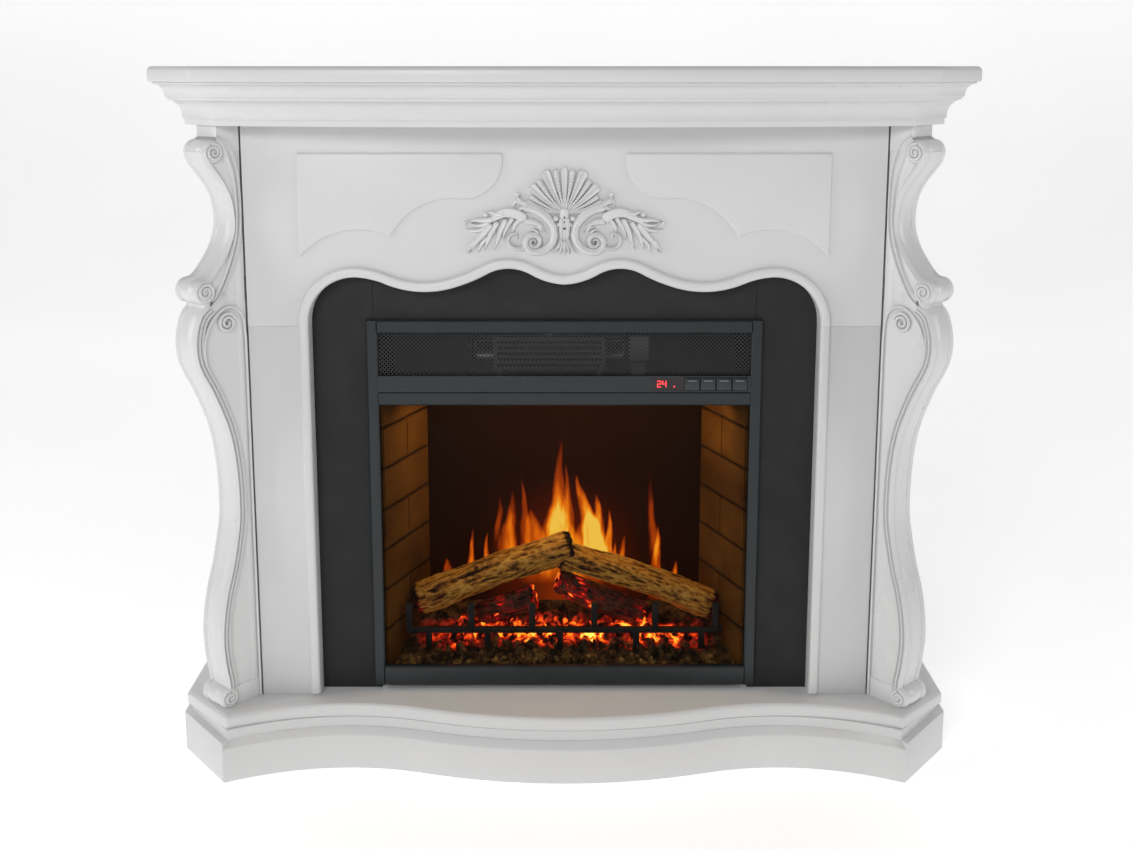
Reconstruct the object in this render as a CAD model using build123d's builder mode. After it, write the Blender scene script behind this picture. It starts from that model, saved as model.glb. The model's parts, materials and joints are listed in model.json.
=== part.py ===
from build123d import *
import os
from math import asin, cos, degrees, hypot, radians, sin

# Electric fireplace: a carved white mantel on a stepped plinth, around a black firebox insert.
# Millimetres. +X is right, +Y goes back to the wall, +Z is up; the origin is on the floor, under the middle.

# ---- driving dimensions -------------------------------------------------------------------------
total_height = 1072.0
half_depth = 190.0
wall_y = half_depth
insert_y = -40.0

shelf_thickness = 22.0
shelf_corner_x = 520.0
shelf_end_x = 605.0
shelf_corner_y = -140.0
shelf_bow = 50.0
crown_bottom = 988.0

plinth_corner = (517.0, insert_y - 104.0)
plinth_end = (602.0, insert_y - 2.0)
plinth_centre_y = insert_y - 106.0
plinth_turn = (215.0, insert_y - 76.0)
plinth_height = 64.0
plinth_wall = 22.0
slab_bottom = 79.0
slab_top = 99.0
slab_corner = (513.0, insert_y - 88.0)
slab_end = (596.0, insert_y - 4.0)
slab_centre_y = insert_y - 94.0
slab_turn = (213.0, insert_y - 64.0)

panel_thickness = 25.0
face_y = insert_y - 15.0
back_of_panels_y = face_y + panel_thickness
leg_outer_x = 473.0
opening_x = 382.0
opening_crest_z = 752.0
seam_z = 689.0
bead_width = 15.0
bead_height = 8.0
board_thickness = 16.0
side_x = 527.0
crown_depth = shelf_end_x - side_x

console_angle = 48.0
console_root = (475.0, insert_y - 15.5)
console_width = 50.0
volute_overhang = 2.0

surround_thickness = 10.0
surround_top_z = 815.0
flange_x = 300.0
flange_bottom = 107.0
flange_top = 694.0
flange_depth = 10.0
window_x = 283.0
window_bottom = 138.0
window_top = 562.0
strip_bottom = 583.0
strip_top = 608.0
grille_top = 674.0

casing_x = 286.0
casing_bottom = 112.0
casing_top_z = 688.0
casing_front_y = insert_y + flange_depth
casing_back_y = insert_y + 205.0
sheet = 1.5

screen_x = 226.0
screen_y = insert_y + 150.0
key_pitch = 24.2
first_key_x = 194.2
key_width = 23.0
key_height = 20.0
key_gap = 0.5
key_travel = 1.2

spindle_y = insert_y + 178.0
spindle_z = 205.0
spindle_r = 3.0
blower_y = insert_y + 105.0
blower_z = 634.0
blower_r = 24.0
blower_half_length = 118.0
shaft_r = 3.0
running_gap = 0.05


# ---- helpers ------------------------------------------------------------------------------------
def facing(y):
    """A sketch plane that looks forward from depth y: sketch X is right, sketch Y is up."""
    return Plane.XZ.offset(-y)


def finish(piece, label):
    piece.part.label = label
    export_step(piece.part, f"parts/{label}.step")


def finish_pair(right, name):
    """Writes a right-hand piece and its mirror image."""
    finish(right, f"{name}_right")
    with BuildPart() as left:
        mirror(right.part, about=Plane.YZ)
    finish(left, f"{name}_left")


def box_between(low, high, mode=Mode.ADD):
    size = [b - a for a, b in zip(low, high)]
    middle = tuple((a + b) / 2 for a, b in zip(low, high))
    with Locations(middle):
        Box(*size, mode=mode)


def scalloped_front(corner, turn, centre_y):
    """Swelling middle and two scooped flanks, corner to corner."""
    middle = ThreePointArc((-turn[0], turn[1]), (0, centre_y), turn)
    flank = TangentArc(turn, corner, tangent=middle % 1)
    mirror(flank, about=Plane.YZ)


def unit(start, end):
    length = hypot(end[0] - start[0], end[1] - start[1])
    return ((end[0] - start[0]) / length, (end[1] - start[1]) / length)


# ---- shelf and crown ----------------------------------------------------------------------------
bow_radius = (shelf_corner_x**2 + shelf_bow**2) / (2 * shelf_bow)
bow_centre_y = shelf_corner_y - shelf_bow + bow_radius
bow_half_angle = degrees(asin(shelf_corner_x / bow_radius))
shelf_corner = (shelf_corner_x, shelf_corner_y)
shelf_end = (shelf_end_x, shelf_corner_y + shelf_end_x - shelf_corner_x)
shelf_bottom = total_height - shelf_thickness

with BuildPart() as shelf_board:
    with BuildSketch(Plane.XY.offset(shelf_bottom)):
        with BuildLine():
            ThreePointArc((-shelf_corner_x, shelf_corner_y), (0, shelf_corner_y - shelf_bow), shelf_corner)
            Polyline(
                shelf_corner,
                shelf_end,
                (shelf_end_x, wall_y),
                (-shelf_end_x, wall_y),
                (-shelf_end_x, shelf_end[1]),
                (-shelf_corner_x, shelf_corner_y),
            )
        make_face()
    extrude(amount=shelf_thickness)
    rim = shelf_board.edges().filter_by(lambda edge: edge.center().Y < wall_y - 1)
    chamfer(rim.group_by(Axis.Z)[-1], length=5)
finish(shelf_board, "shelf_board")


def cove(upper, lower):
    """Hollow quarter from an overhanging edge down to a lower, set-back one."""
    lean = cos(radians(45))
    middle = (upper[0] + lean * (lower[0] - upper[0]), lower[1] + lean * (upper[1] - lower[1]))
    ThreePointArc(upper, middle, lower)


def crown_outline(depth):
    """Crown section: sketch X runs inward from the shelf's edge, sketch Y is height."""
    top_cove = ((6, shelf_bottom - 3), (21, shelf_bottom - 18))
    low_cove = ((28, shelf_bottom - 26), (43, shelf_bottom - 53))
    Polyline((depth, crown_bottom), (depth, shelf_bottom), (6, shelf_bottom), top_cove[0])
    cove(*top_cove)
    Polyline(top_cove[1], (21, shelf_bottom - 21), (25, shelf_bottom - 23), (25, shelf_bottom - 26), low_cove[0])
    cove(*low_cove)
    Polyline(low_cove[1], (46, shelf_bottom - 53), (46, crown_bottom), (depth, crown_bottom))


# the mitre at a front corner halves the angle between the bowed front and the cant
cant_in = (-sin(radians(45)), cos(radians(45)))
front_in = (-sin(radians(bow_half_angle)), cos(radians(bow_half_angle)))
mitre_dir = unit((0, 0), (cant_in[0] + front_in[0], cant_in[1] + front_in[1]))
mitre_plane = Plane(
    origin=(shelf_corner[0], shelf_corner[1], 0),
    x_dir=(mitre_dir[0], mitre_dir[1], 0),
    z_dir=(mitre_dir[1], -mitre_dir[0], 0),
)
left_mitre_plane = Plane(
    origin=(-shelf_corner[0], shelf_corner[1], 0),
    x_dir=(-mitre_dir[0], mitre_dir[1], 0),
    z_dir=(-mitre_dir[1], -mitre_dir[0], 0),
)
front_crown_depth = face_y - (shelf_corner_y - shelf_bow)

with BuildPart() as crown_front:
    swing = bow_half_angle + 2
    beyond_x = shelf_end_x + 95
    with BuildSketch(Plane(origin=(0, shelf_corner_y - shelf_bow, 0), x_dir=(0, 1, 0), z_dir=(1, 0, 0))):
        with BuildLine():
            crown_outline(front_crown_depth)
        make_face()
    bow_axis = Axis((0, bow_centre_y, 0), (0, 0, 1))
    revolve(axis=bow_axis, revolution_arc=swing)
    mirror(crown_front.part, about=Plane.YZ)
    box_between((-beyond_x, face_y, crown_bottom - 5), (beyond_x, wall_y, shelf_bottom + 5), mode=Mode.SUBTRACT)
    split(bisect_by=mitre_plane, keep=Keep.BOTTOM)
    split(bisect_by=left_mitre_plane, keep=Keep.BOTTOM)
finish(crown_front, "crown_front")

with BuildPart() as crown_end_right:
    run_in = 60
    cant = unit(shelf_corner, shelf_end)
    path_start = (shelf_corner[0] - run_in * cant[0], shelf_corner[1] - run_in * cant[1])
    with BuildLine() as end_path:
        Polyline((*path_start, 0), (*shelf_end, 0), (shelf_end_x, wall_y, 0))
    end_plane = Plane(origin=(*path_start, 0), x_dir=(*cant_in, 0), z_dir=(*cant, 0))
    with BuildSketch(end_plane):
        with BuildLine():
            crown_outline(crown_depth)
        make_face()
    sweep(path=end_path.line, transition=Transition.RIGHT)
    split(bisect_by=mitre_plane, keep=Keep.TOP)
finish_pair(crown_end_right, "crown_end")


# ---- frieze, legs and their bead ----------------------------------------------------------------
opening_tail = 40.0
# right half of the scalloped head, from the seam up and in to the middle
head_arcs = (
    ((opening_x, seam_z), (363, 741), (308, 763)),
    ((308, 763), (284, 759), (262, 751)),
    ((262, 751), (209, 741), (156, 750)),
    ((156, 750), (137, 757), (118, 766)),
    ((118, 766), (83, 776), (48, 766)),
    ((48, 766), (24, 756), (0, opening_crest_z)),
)

with BuildSketch() as opening:
    with BuildLine():
        for start, middle, end in head_arcs:
            ThreePointArc(start, middle, end)
            ThreePointArc(*[(-x, z) for x, z in (start, middle, end)])
        Polyline(
            (opening_x, seam_z),
            (opening_x, seam_z - opening_tail),
            (-opening_x, seam_z - opening_tail),
            (-opening_x, seam_z),
        )
    make_face()

with BuildSketch() as opening_bead:
    add(opening.sketch)
    offset(amount=bead_width, kind=Kind.ARC)
    with Locations((0, seam_z - 2 * opening_tail)):
        Rectangle(3 * opening_x, 4 * opening_tail, mode=Mode.SUBTRACT)

with BuildPart() as frieze_panel:
    with BuildSketch(facing(back_of_panels_y)):
        with Locations((0, (seam_z + shelf_bottom) / 2)):
            Rectangle(2 * leg_outer_x, shelf_bottom - seam_z)
    extrude(amount=panel_thickness)
    with BuildSketch(facing(face_y)):
        add(opening_bead.sketch)
    extrude(amount=bead_height)
    with BuildSketch(facing(back_of_panels_y)):
        add(opening.sketch)
    extrude(amount=panel_thickness + bead_height, mode=Mode.SUBTRACT)
finish(frieze_panel, "frieze_panel")

with BuildPart() as leg_panel_right:
    box_between((opening_x, face_y, slab_top), (leg_outer_x, back_of_panels_y, seam_z))
    box_between((opening_x, face_y - bead_height, slab_top + 4), (opening_x + bead_width, face_y, seam_z))
    fillet(leg_panel_right.edges().filter_by(Axis.Z).group_by(Axis.Y)[0], radius=5)
finish_pair(leg_panel_right, "leg_panel")

with BuildPart() as field_panel_right:
    field_thickness = 4.0
    with BuildSketch(facing(face_y)):
        with BuildLine():
            ThreePointArc((91, 947), (107, 896), (150, 879))
            ThreePointArc((150, 879), (212, 868), (257, 823))
            ThreePointArc((257, 823), (327, 831), (392, 792))
            Polyline((392, 792), (392, 947), (91, 947))
        make_face()
    extrude(amount=field_thickness)
    chamfer(field_panel_right.faces().sort_by(Axis.Y)[0].edges(), length=2.5)
finish_pair(field_panel_right, "field_panel")

with BuildPart() as crest_ornament:
    relief_step = 8.0
    shell_centre_z = 858.0
    shell_r = 46.0
    with BuildSketch(facing(face_y)):
        with BuildLine():
            ThreePointArc((0, 930), (44, 909), (58, 862))
            ThreePointArc((58, 862), (108, 858), (148, 838))
            ThreePointArc((148, 838), (88, 804), (0, 797))
            Line((0, 797), (0, 930))
        make_face()
        mirror(about=Plane.YZ)
    extrude(amount=relief_step)
    with BuildSketch(facing(face_y - relief_step)):
        with Locations((0, shell_centre_z)):
            Circle(shell_r)
    extrude(amount=relief_step)
finish(crest_ornament, "crest_ornament")

# ---- consoles -----------------------------------------------------------------------------------
turn = radians(console_angle)
console_out = (cos(turn), -sin(turn))
console_across = (sin(turn), cos(turn))
console_plane = Plane(
    origin=(console_root[0], console_root[1], 0),
    x_dir=(console_out[0], console_out[1], 0),
    z_dir=(-console_across[0], -console_across[1], 0),
)
# each volute: distance out, height, radius
volutes = (
    (45.0, 950.0, 16.0),
    (69.0, 749.0, 17.0),
    (34.0, 700.0, 17.0),
    (58.0, 116.0, 15.0),
)
neck_out = 38.0

with BuildPart() as console_right:
    with BuildSketch(console_plane):
        with BuildLine():
            Polyline(
                (52, 932),
                (neck_out, 950),
                (neck_out, crown_bottom),
                (0, crown_bottom),
                (0, slab_top),
                (57, slab_top),
                (57, 135),
            )
            Spline(
                (57, 135),
                (62, 168),
                (65, 206),
                (62, 244),
                (54, 283),
                (43, 319),
                (34, 361),
                (28, 410),
                (29, 466),
                (34, 510),
                (45, 552),
                (62, 592),
                (77, 624),
                (86, 655),
                (85, 690),
                (74, 720),
            )
            Line((74, 720), (56, 765))
            ThreePointArc((56, 765), (12.5, 849), (52, 932))
        make_face()
    extrude(amount=-console_width)
    for out, height, radius in volutes:
        with BuildSketch(console_plane.offset(volute_overhang)):
            with Locations((out, height)):
                Circle(radius)
        extrude(amount=-console_width - 2 * volute_overhang)
finish_pair(console_right, "console")

with BuildPart() as corner_post_right:
    post_start = 17.0
    post_end = 70.0
    with BuildSketch(console_plane.offset(-post_start)):
        with Locations((-board_thickness / 2 - 0.1, (slab_top + shelf_bottom) / 2)):
            Rectangle(board_thickness, shelf_bottom - slab_top)
    extrude(amount=post_start - post_end)
finish_pair(corner_post_right, "corner_post")

with BuildPart() as side_panel_right:
    post_back_y = console_root[1] + post_end * console_across[1] - board_thickness * console_out[1]
    side_front_y = post_back_y + 0.5
    box_between((side_x - board_thickness, side_front_y, slab_top), (side_x, wall_y, shelf_bottom))
finish_pair(side_panel_right, "side_panel")

with BuildPart() as back_rail:
    rail_bottom = 940.0
    rail_inner_x = side_x - board_thickness
    hole_spacing = 800.0
    hole_z = 990.0
    box_between((-rail_inner_x, wall_y - board_thickness, rail_bottom), (rail_inner_x, wall_y, shelf_bottom))
    with BuildSketch(facing(wall_y)):
        with Locations((-hole_spacing / 2, hole_z), (hole_spacing / 2, hole_z)):
            Circle(4.0)
    extrude(amount=board_thickness, mode=Mode.SUBTRACT)
finish(back_rail, "back_rail")

# ---- hearth slab and plinth ---------------------------------------------------------------------
with BuildPart() as hearth_slab:
    with BuildSketch(Plane.XY.offset(slab_bottom)):
        with BuildLine():
            scalloped_front(slab_corner, slab_turn, slab_centre_y)
            Polyline(
                slab_corner,
                slab_end,
                (slab_end[0], wall_y),
                (-slab_end[0], wall_y),
                (-slab_end[0], slab_end[1]),
                (-slab_corner[0], slab_corner[1]),
            )
        make_face()
    extrude(amount=slab_top - slab_bottom)
    slab_rim = hearth_slab.edges().filter_by(lambda edge: edge.center().Y < wall_y - 1)
    chamfer(slab_rim.group_by(Axis.Z)[-1], length=4)
finish(hearth_slab, "hearth_slab")


def corner_inset(before, corner, after, depth):
    """The point that lies depth inside both edges at a corner of a clockwise-seen outline."""
    first = unit(before, corner)
    second = unit(corner, after)
    first_in = (-first[1], first[0])
    second_in = (-second[1], second[0])
    halfway = unit((0, 0), (first_in[0] + second_in[0], first_in[1] + second_in[1]))
    reach = depth / (halfway[0] * first_in[0] + halfway[1] * first_in[1])
    return (corner[0] + reach * halfway[0], corner[1] + reach * halfway[1])


plinth_back = (plinth_end[0], wall_y)
front_middle = (0, plinth_corner[1])
recess = 12.0

with BuildPart() as plinth_front:
    front_web = 70.0
    web_corner = corner_inset(front_middle, plinth_corner, plinth_end, front_web)
    with BuildSketch():
        with BuildLine():
            scalloped_front(plinth_corner, plinth_turn, plinth_centre_y)
            Polyline(
                plinth_corner,
                web_corner,
                (-web_corner[0], web_corner[1]),
                (-plinth_corner[0], plinth_corner[1]),
            )
        make_face()
    extrude(amount=plinth_height)
    block_rim = plinth_front.faces().sort_by(Axis.Z)[-1].edges().filter_by(GeomType.CIRCLE)
    chamfer(block_rim, length=10)
    step_corner = corner_inset(front_middle, plinth_corner, plinth_end, recess)
    step_turn = (plinth_turn[0], plinth_turn[1] + recess)
    with BuildSketch(Plane.XY.offset(plinth_height)):
        with BuildLine():
            scalloped_front(step_corner, step_turn, plinth_centre_y + recess)
            Polyline(step_corner, web_corner, (-web_corner[0], web_corner[1]), (-step_corner[0], step_corner[1]))
        make_face()
    extrude(amount=slab_bottom - plinth_height)
finish(plinth_front, "plinth_front")

with BuildPart() as plinth_end_right:
    inner_front = corner_inset(front_middle, plinth_corner, plinth_end, plinth_wall)
    inner_end = corner_inset(plinth_corner, plinth_end, plinth_back, plinth_wall)
    step_front = corner_inset(front_middle, plinth_corner, plinth_end, recess)
    step_end = corner_inset(plinth_corner, plinth_end, plinth_back, recess)
    with BuildSketch():
        Polygon(
            plinth_corner,
            plinth_end,
            plinth_back,
            (plinth_back[0] - plinth_wall, wall_y),
            inner_end,
            inner_front,
            align=None,
        )
    extrude(amount=plinth_height)
    with BuildSketch(Plane.XY.offset(plinth_height)):
        Polygon(
            step_front,
            step_end,
            (plinth_back[0] - recess, wall_y),
            (plinth_back[0] - plinth_wall, wall_y),
            inner_end,
            inner_front,
            align=None,
        )
    extrude(amount=slab_bottom - plinth_height)
finish_pair(plinth_end_right, "plinth_end")

# ---- black surround -----------------------------------------------------------------------------
surround_inner_x = casing_x + 4.0
surround_y = back_of_panels_y
surround_back_y = surround_y + surround_thickness
surround_outer_x = leg_outer_x - 30.0

with BuildPart() as surround_right:
    box_between(
        (surround_inner_x, surround_y, slab_top),
        (surround_outer_x, surround_back_y, surround_top_z),
    )
finish_pair(surround_right, "surround")

with BuildPart() as surround_top:
    box_between(
        (-surround_inner_x + 0.5, surround_y, casing_top_z + 2),
        (surround_inner_x - 0.5, surround_back_y, surround_top_z),
    )
finish(surround_top, "surround_top")

# ---- insert casing ------------------------------------------------------------------------------
vent_width = 4.0

with BuildPart() as casing_side_right:
    box_between((casing_x - sheet, casing_front_y, casing_bottom), (casing_x, casing_back_y, casing_top_z))
finish_pair(casing_side_right, "casing_side")

with BuildPart() as casing_top:
    box_between(
        (-casing_x + sheet, casing_front_y, casing_top_z - sheet),
        (casing_x - sheet, casing_back_y - sheet, casing_top_z),
    )
    with BuildSketch(Plane.XY.offset(casing_top_z)):
        with GridLocations(12, 40, 30, 2):
            with Locations((0, casing_back_y - 60)):
                SlotOverall(30, vent_width, rotation=90)
    extrude(amount=-2 * sheet, mode=Mode.SUBTRACT)
finish(casing_top, "casing_top")

gland_x = 236.0
gland_z = 150.0
gland_r = 9.0
gland_neck = sheet + 6.0
gland_nut_r = 12.0
cord_hole_r = 4.0

with BuildPart() as casing_back:
    box_between(
        (-casing_x + sheet, casing_back_y - sheet, casing_bottom),
        (casing_x - sheet, casing_back_y, casing_top_z),
    )
    with BuildSketch(facing(casing_back_y)):
        with Locations((gland_x, gland_z)):
            Circle(gland_r)
        with GridLocations(12, 0, 24, 1):
            with Locations((0, blower_z)):
                SlotOverall(44, vent_width, rotation=90)
    extrude(amount=2 * sheet, mode=Mode.SUBTRACT)
finish(casing_back, "casing_back")

tab_x = 244.0

with BuildPart() as base_tray:
    tray_top = casing_bottom + sheet
    box_between(
        (-casing_x + sheet, casing_front_y, casing_bottom),
        (casing_x - sheet, casing_back_y - sheet, tray_top),
    )
    box_between((tab_x, spindle_y - 10, tray_top), (tab_x + 2, spindle_y + 10, spindle_z + 12))
    with BuildSketch(Plane.YZ.offset(tab_x)):
        with Locations((spindle_y, spindle_z)):
            Circle(spindle_r + running_gap)
    extrude(amount=2, mode=Mode.SUBTRACT)
finish(base_tray, "base_tray")

with BuildPart() as cord_gland:
    with BuildSketch(facing(casing_back_y - gland_neck)):
        with Locations((gland_x, gland_z)):
            Circle(gland_r - 0.05)
            Circle(cord_hole_r, mode=Mode.SUBTRACT)
    extrude(amount=-gland_neck)
    with BuildSketch(facing(casing_back_y)):
        with Locations((gland_x, gland_z)):
            RegularPolygon(gland_nut_r, 6)
            Circle(cord_hole_r, mode=Mode.SUBTRACT)
    extrude(amount=-gland_nut_r)
finish(cord_gland, "cord_gland")

# ---- insert trim --------------------------------------------------------------------------------
with BuildPart() as frame_stile_right:
    box_between((window_x, insert_y, flange_bottom), (flange_x, casing_front_y, flange_top))
    chamfer(frame_stile_right.edges().filter_by(Axis.Z).group_by(Axis.Y)[0], length=2)
finish_pair(frame_stile_right, "frame_stile")

rails = {
    "frame_rail_top": (grille_top, flange_top, 0.0),
    "frame_rail_bottom": (flange_bottom, window_bottom, 0.0),
    "mid_bar": (window_top, strip_bottom, 1.0),
}
for rail_name, (rail_low, rail_high, rail_setback) in rails.items():
    with BuildPart() as rail:
        box_between((-window_x, insert_y + rail_setback, rail_low), (window_x, casing_front_y, rail_high))
        chamfer(rail.edges().filter_by(Axis.X).group_by(Axis.Y)[0], length=2)
    finish(rail, rail_name)

with BuildPart() as glass_pane:
    glass_y = casing_front_y
    glass_x = casing_x - sheet - 0.5
    glass_thickness = 4.0
    box_between((-glass_x, glass_y, window_bottom - 8), (glass_x, glass_y + glass_thickness, window_top + 4))
finish(glass_pane, "glass_pane")

with BuildPart() as outlet_grille:
    grille_y = insert_y + 8.0
    grille_low = strip_top + 0.2
    grille_high = grille_top - 0.2
    box_between((-window_x + 0.2, grille_y, grille_low), (window_x - 0.2, grille_y + 1.5, grille_high))
    with BuildSketch(facing(grille_y)):
        with Locations((0, (grille_low + grille_high) / 2)):
            with GridLocations(9, 18, 60, 3):
                SlotOverall(14, 5, rotation=90)
    extrude(amount=-1.5, mode=Mode.SUBTRACT)
finish(outlet_grille, "outlet_grille")

# ---- controls -----------------------------------------------------------------------------------
strip_y = insert_y + 2.0
strip_thickness = 4.0
key_z = (strip_bottom + strip_top) / 2
key_xs = [first_key_x + key_pitch * index for index in range(4)]
display_x = 158.5
display_width = 47.0

with BuildPart() as control_fascia:
    box_between((-window_x, strip_y, strip_bottom), (window_x, strip_y + strip_thickness, strip_top))
    with BuildSketch(facing(strip_y)):
        with Locations(*[(x, key_z) for x in key_xs]):
            Rectangle(key_width + 2 * key_gap, key_height + 2 * key_gap)
        with Locations((display_x, key_z)):
            Rectangle(display_width, key_height)
    extrude(amount=-strip_thickness, mode=Mode.SUBTRACT)
    with BuildSketch(facing(strip_y + strip_thickness)):
        with Locations((128, key_z), (window_x - 2, key_z)):
            Rectangle(3, 16)
    extrude(amount=-9)
finish(control_fascia, "control_fascia")

with BuildPart() as display_window:
    box_between(
        (display_x - display_width / 2, strip_y + 0.6, key_z - key_height / 2),
        (display_x + display_width / 2, strip_y + strip_thickness, key_z + key_height / 2),
    )
finish(display_window, "display_window")

with BuildPart() as control_board:
    board_y = strip_y + strip_thickness + 9
    box_between((118, board_y, key_z - 10), (window_x - 0.5, board_y + 1.6, key_z + 10))
    for x in key_xs:
        box_between((x - 3, board_y - 2.5, key_z - 3), (x + 3, board_y, key_z + 3))
finish(control_board, "control_board")

for key_name, key_x in zip(("power", "flame", "heat_low", "heat_high"), key_xs):
    with BuildPart() as key:
        box_between(
            (key_x - key_width / 2, strip_y - 2, key_z - key_height / 2),
            (key_x + key_width / 2, strip_y + strip_thickness + 1, key_z + key_height / 2),
        )
        chamfer(key.faces().sort_by(Axis.Y)[0].edges(), length=1.2)
        box_between((key_x - 2, strip_y + strip_thickness + 1, key_z - 2), (key_x + 2, board_y - 4.0, key_z + 2))
    finish(key, f"button_{key_name}")

# ---- firebox ------------------------------------------------------------------------------------
panel_front = (window_x - 2.0, casing_front_y + 6.0)
panel_back = (screen_x, screen_y)
brick_thickness = 6.0
bed_bottom = tray_top
bed_front_z = 124.0
bed_back_z = 186.0

with BuildPart() as brick_panel_right:
    brick_low = bed_bottom
    with BuildSketch(Plane.XY.offset(brick_low)):
        Polygon(
            panel_front,
            panel_back,
            (panel_back[0] + brick_thickness, panel_back[1]),
            (panel_front[0] + 2.0, panel_front[1] + 10.0),
            (panel_front[0] + 2.0, panel_front[1]),
            align=None,
        )
    extrude(amount=window_top + 4 - brick_low)
finish_pair(brick_panel_right, "brick_panel")

with BuildPart() as baffle_plate:
    box_between(
        (-casing_x + sheet, casing_front_y + 4.5, window_top + 4),
        (casing_x - sheet, casing_back_y - sheet, window_top + 6),
    )
finish(baffle_plate, "baffle_plate")

with BuildPart() as flame_screen:
    box_between(
        (-screen_x - brick_thickness, screen_y, bed_bottom),
        (screen_x + brick_thickness, screen_y + 3, window_top + 4),
    )
finish(flame_screen, "flame_screen")

with BuildPart() as ember_bed:
    bed_front_y = casing_front_y + 7.0
    bed_back_y = screen_y - 0.5
    inner_front_x = panel_front[0] - 2.5
    with BuildSketch(Plane.XY.offset(bed_bottom)):
        Polygon(
            (-inner_front_x, bed_front_y),
            (inner_front_x, bed_front_y),
            (screen_x - 0.5, bed_back_y),
            (-screen_x + 0.5, bed_back_y),
            align=None,
        )
    extrude(amount=bed_back_z - bed_bottom)
    with BuildSketch(Plane.YZ.offset(-window_x)):
        Polygon(
            (bed_front_y - 5, bed_front_z),
            (bed_front_y, bed_front_z),
            (bed_back_y, bed_back_z),
            (bed_back_y, bed_back_z + 30),
            (bed_front_y - 5, bed_back_z + 30),
            align=None,
        )
    extrude(amount=2 * window_x, mode=Mode.SUBTRACT)
finish(ember_bed, "ember_bed")

grate_y = insert_y + 55.0
grate_bar_z = 176.0
upright_xs = (-250, -150, -52, 48, 146, 243)
foot_xs = (-219, -124, -7, 116, 221)
bed_slope = (bed_back_z - bed_front_z) / (bed_back_y - bed_front_y)
foot_bottom = bed_front_z + bed_slope * (grate_y + 4 - bed_front_y)

with BuildPart() as grate:
    box_between((-254, grate_y - 4, grate_bar_z - 5), (254, grate_y + 4, grate_bar_z + 4))
    for x in upright_xs:
        box_between((x - 5, grate_y - 5, grate_bar_z), (x + 5, grate_y + 5, grate_bar_z + 45))
    for x in foot_xs:
        box_between((x - 5, grate_y - 4, foot_bottom), (x + 5, grate_y + 4, grate_bar_z))
finish(grate, "grate")

logs = (
    ((-238, 84, 214), (12, 88, 306), 25),
    ((-4, 92, 287), (240, 86, 204), 23),
    ((-150, 112, 193), (-12, 100, 247), 21),
    ((-30, 104, 251), (120, 114, 198), 21),
)

with BuildPart() as log_set:
    for log_start, log_end, log_r in logs:
        start = Vector(log_start[0], insert_y + log_start[1], log_start[2])
        end = Vector(log_end[0], insert_y + log_end[1], log_end[2])
        way = (end - start).normalized()
        with BuildSketch(Plane(origin=start, z_dir=way)):
            RegularPolygon(log_r, 9)
        extrude(amount=(end - start).length)
finish(log_set, "log_set")

# ---- flame effect -------------------------------------------------------------------------------
motor_x = -256.0

with BuildPart() as flame_spindle:
    with BuildSketch(Plane.YZ.offset(motor_x + 3)):
        with Locations((spindle_y, spindle_z)):
            Circle(spindle_r)
    extrude(amount=tab_x + 4 - motor_x - 3)
    vane_count = 11
    vane_pitch = 38.0
    for index in range(vane_count):
        with BuildSketch(Plane.YZ.offset((index - (vane_count - 1) / 2) * vane_pitch)):
            with Locations(Location((spindle_y, spindle_z), index * 50)):
                Rectangle(28, 1.2)
                Rectangle(1.2, 28)
        extrude(amount=22)
finish(flame_spindle, "flame_spindle")

with BuildPart() as spindle_motor:
    with BuildSketch(Plane.YZ.offset(motor_x - 20)):
        with Locations((spindle_y, spindle_z)):
            Circle(16)
    extrude(amount=30)
    with BuildSketch(Plane.YZ.offset(motor_x + 2)):
        with Locations((spindle_y, spindle_z)):
            Circle(spindle_r + running_gap)
    extrude(amount=10, mode=Mode.SUBTRACT)
    box_between((motor_x - 20, spindle_y - 10, tray_top), (motor_x - 17, spindle_y + 10, spindle_z - 10))
finish(spindle_motor, "spindle_motor")

with BuildPart() as led_board:
    led_y = screen_y + 3
    led_z = 158.0
    box_between((-200, led_y, led_z), (200, led_y + 10, led_z + 1.6))
    with BuildSketch(Plane.XY.offset(led_z + 1.6)):
        with Locations((0, led_y + 5)):
            with GridLocations(24, 0, 16, 1):
                Rectangle(5, 5)
    extrude(amount=1.5)
finish(led_board, "led_board")

# ---- heater and blower --------------------------------------------------------------------------
heater_x = (-109.0, 62.0)
heater_y = (insert_y + 24.0, insert_y + 48.0)
heater_z = (612.0, 664.0)

with BuildPart() as heater_block:
    box_between((heater_x[0], heater_y[0], heater_z[0]), (heater_x[1], heater_y[1], heater_z[1]))
    with BuildSketch(facing(heater_y[0])):
        with Locations(((heater_x[0] + heater_x[1]) / 2, (heater_z[0] + heater_z[1]) / 2)):
            with GridLocations(0, 9, 1, 5):
                Rectangle(heater_x[1] - heater_x[0] - 12, 6)
    extrude(amount=heater_y[0] - heater_y[1], mode=Mode.SUBTRACT)
    for x in (heater_x[0] + 8, heater_x[1] - 8):
        box_between((x - 3, heater_y[0] + 4, window_top + 6), (x + 3, heater_y[1] - 4, heater_z[0]))
finish(heater_block, "heater_block")

blower_x = (heater_x[0] + heater_x[1]) / 2
housing_gap = 4.0
housing_half = blower_half_length + 4.0

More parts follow.
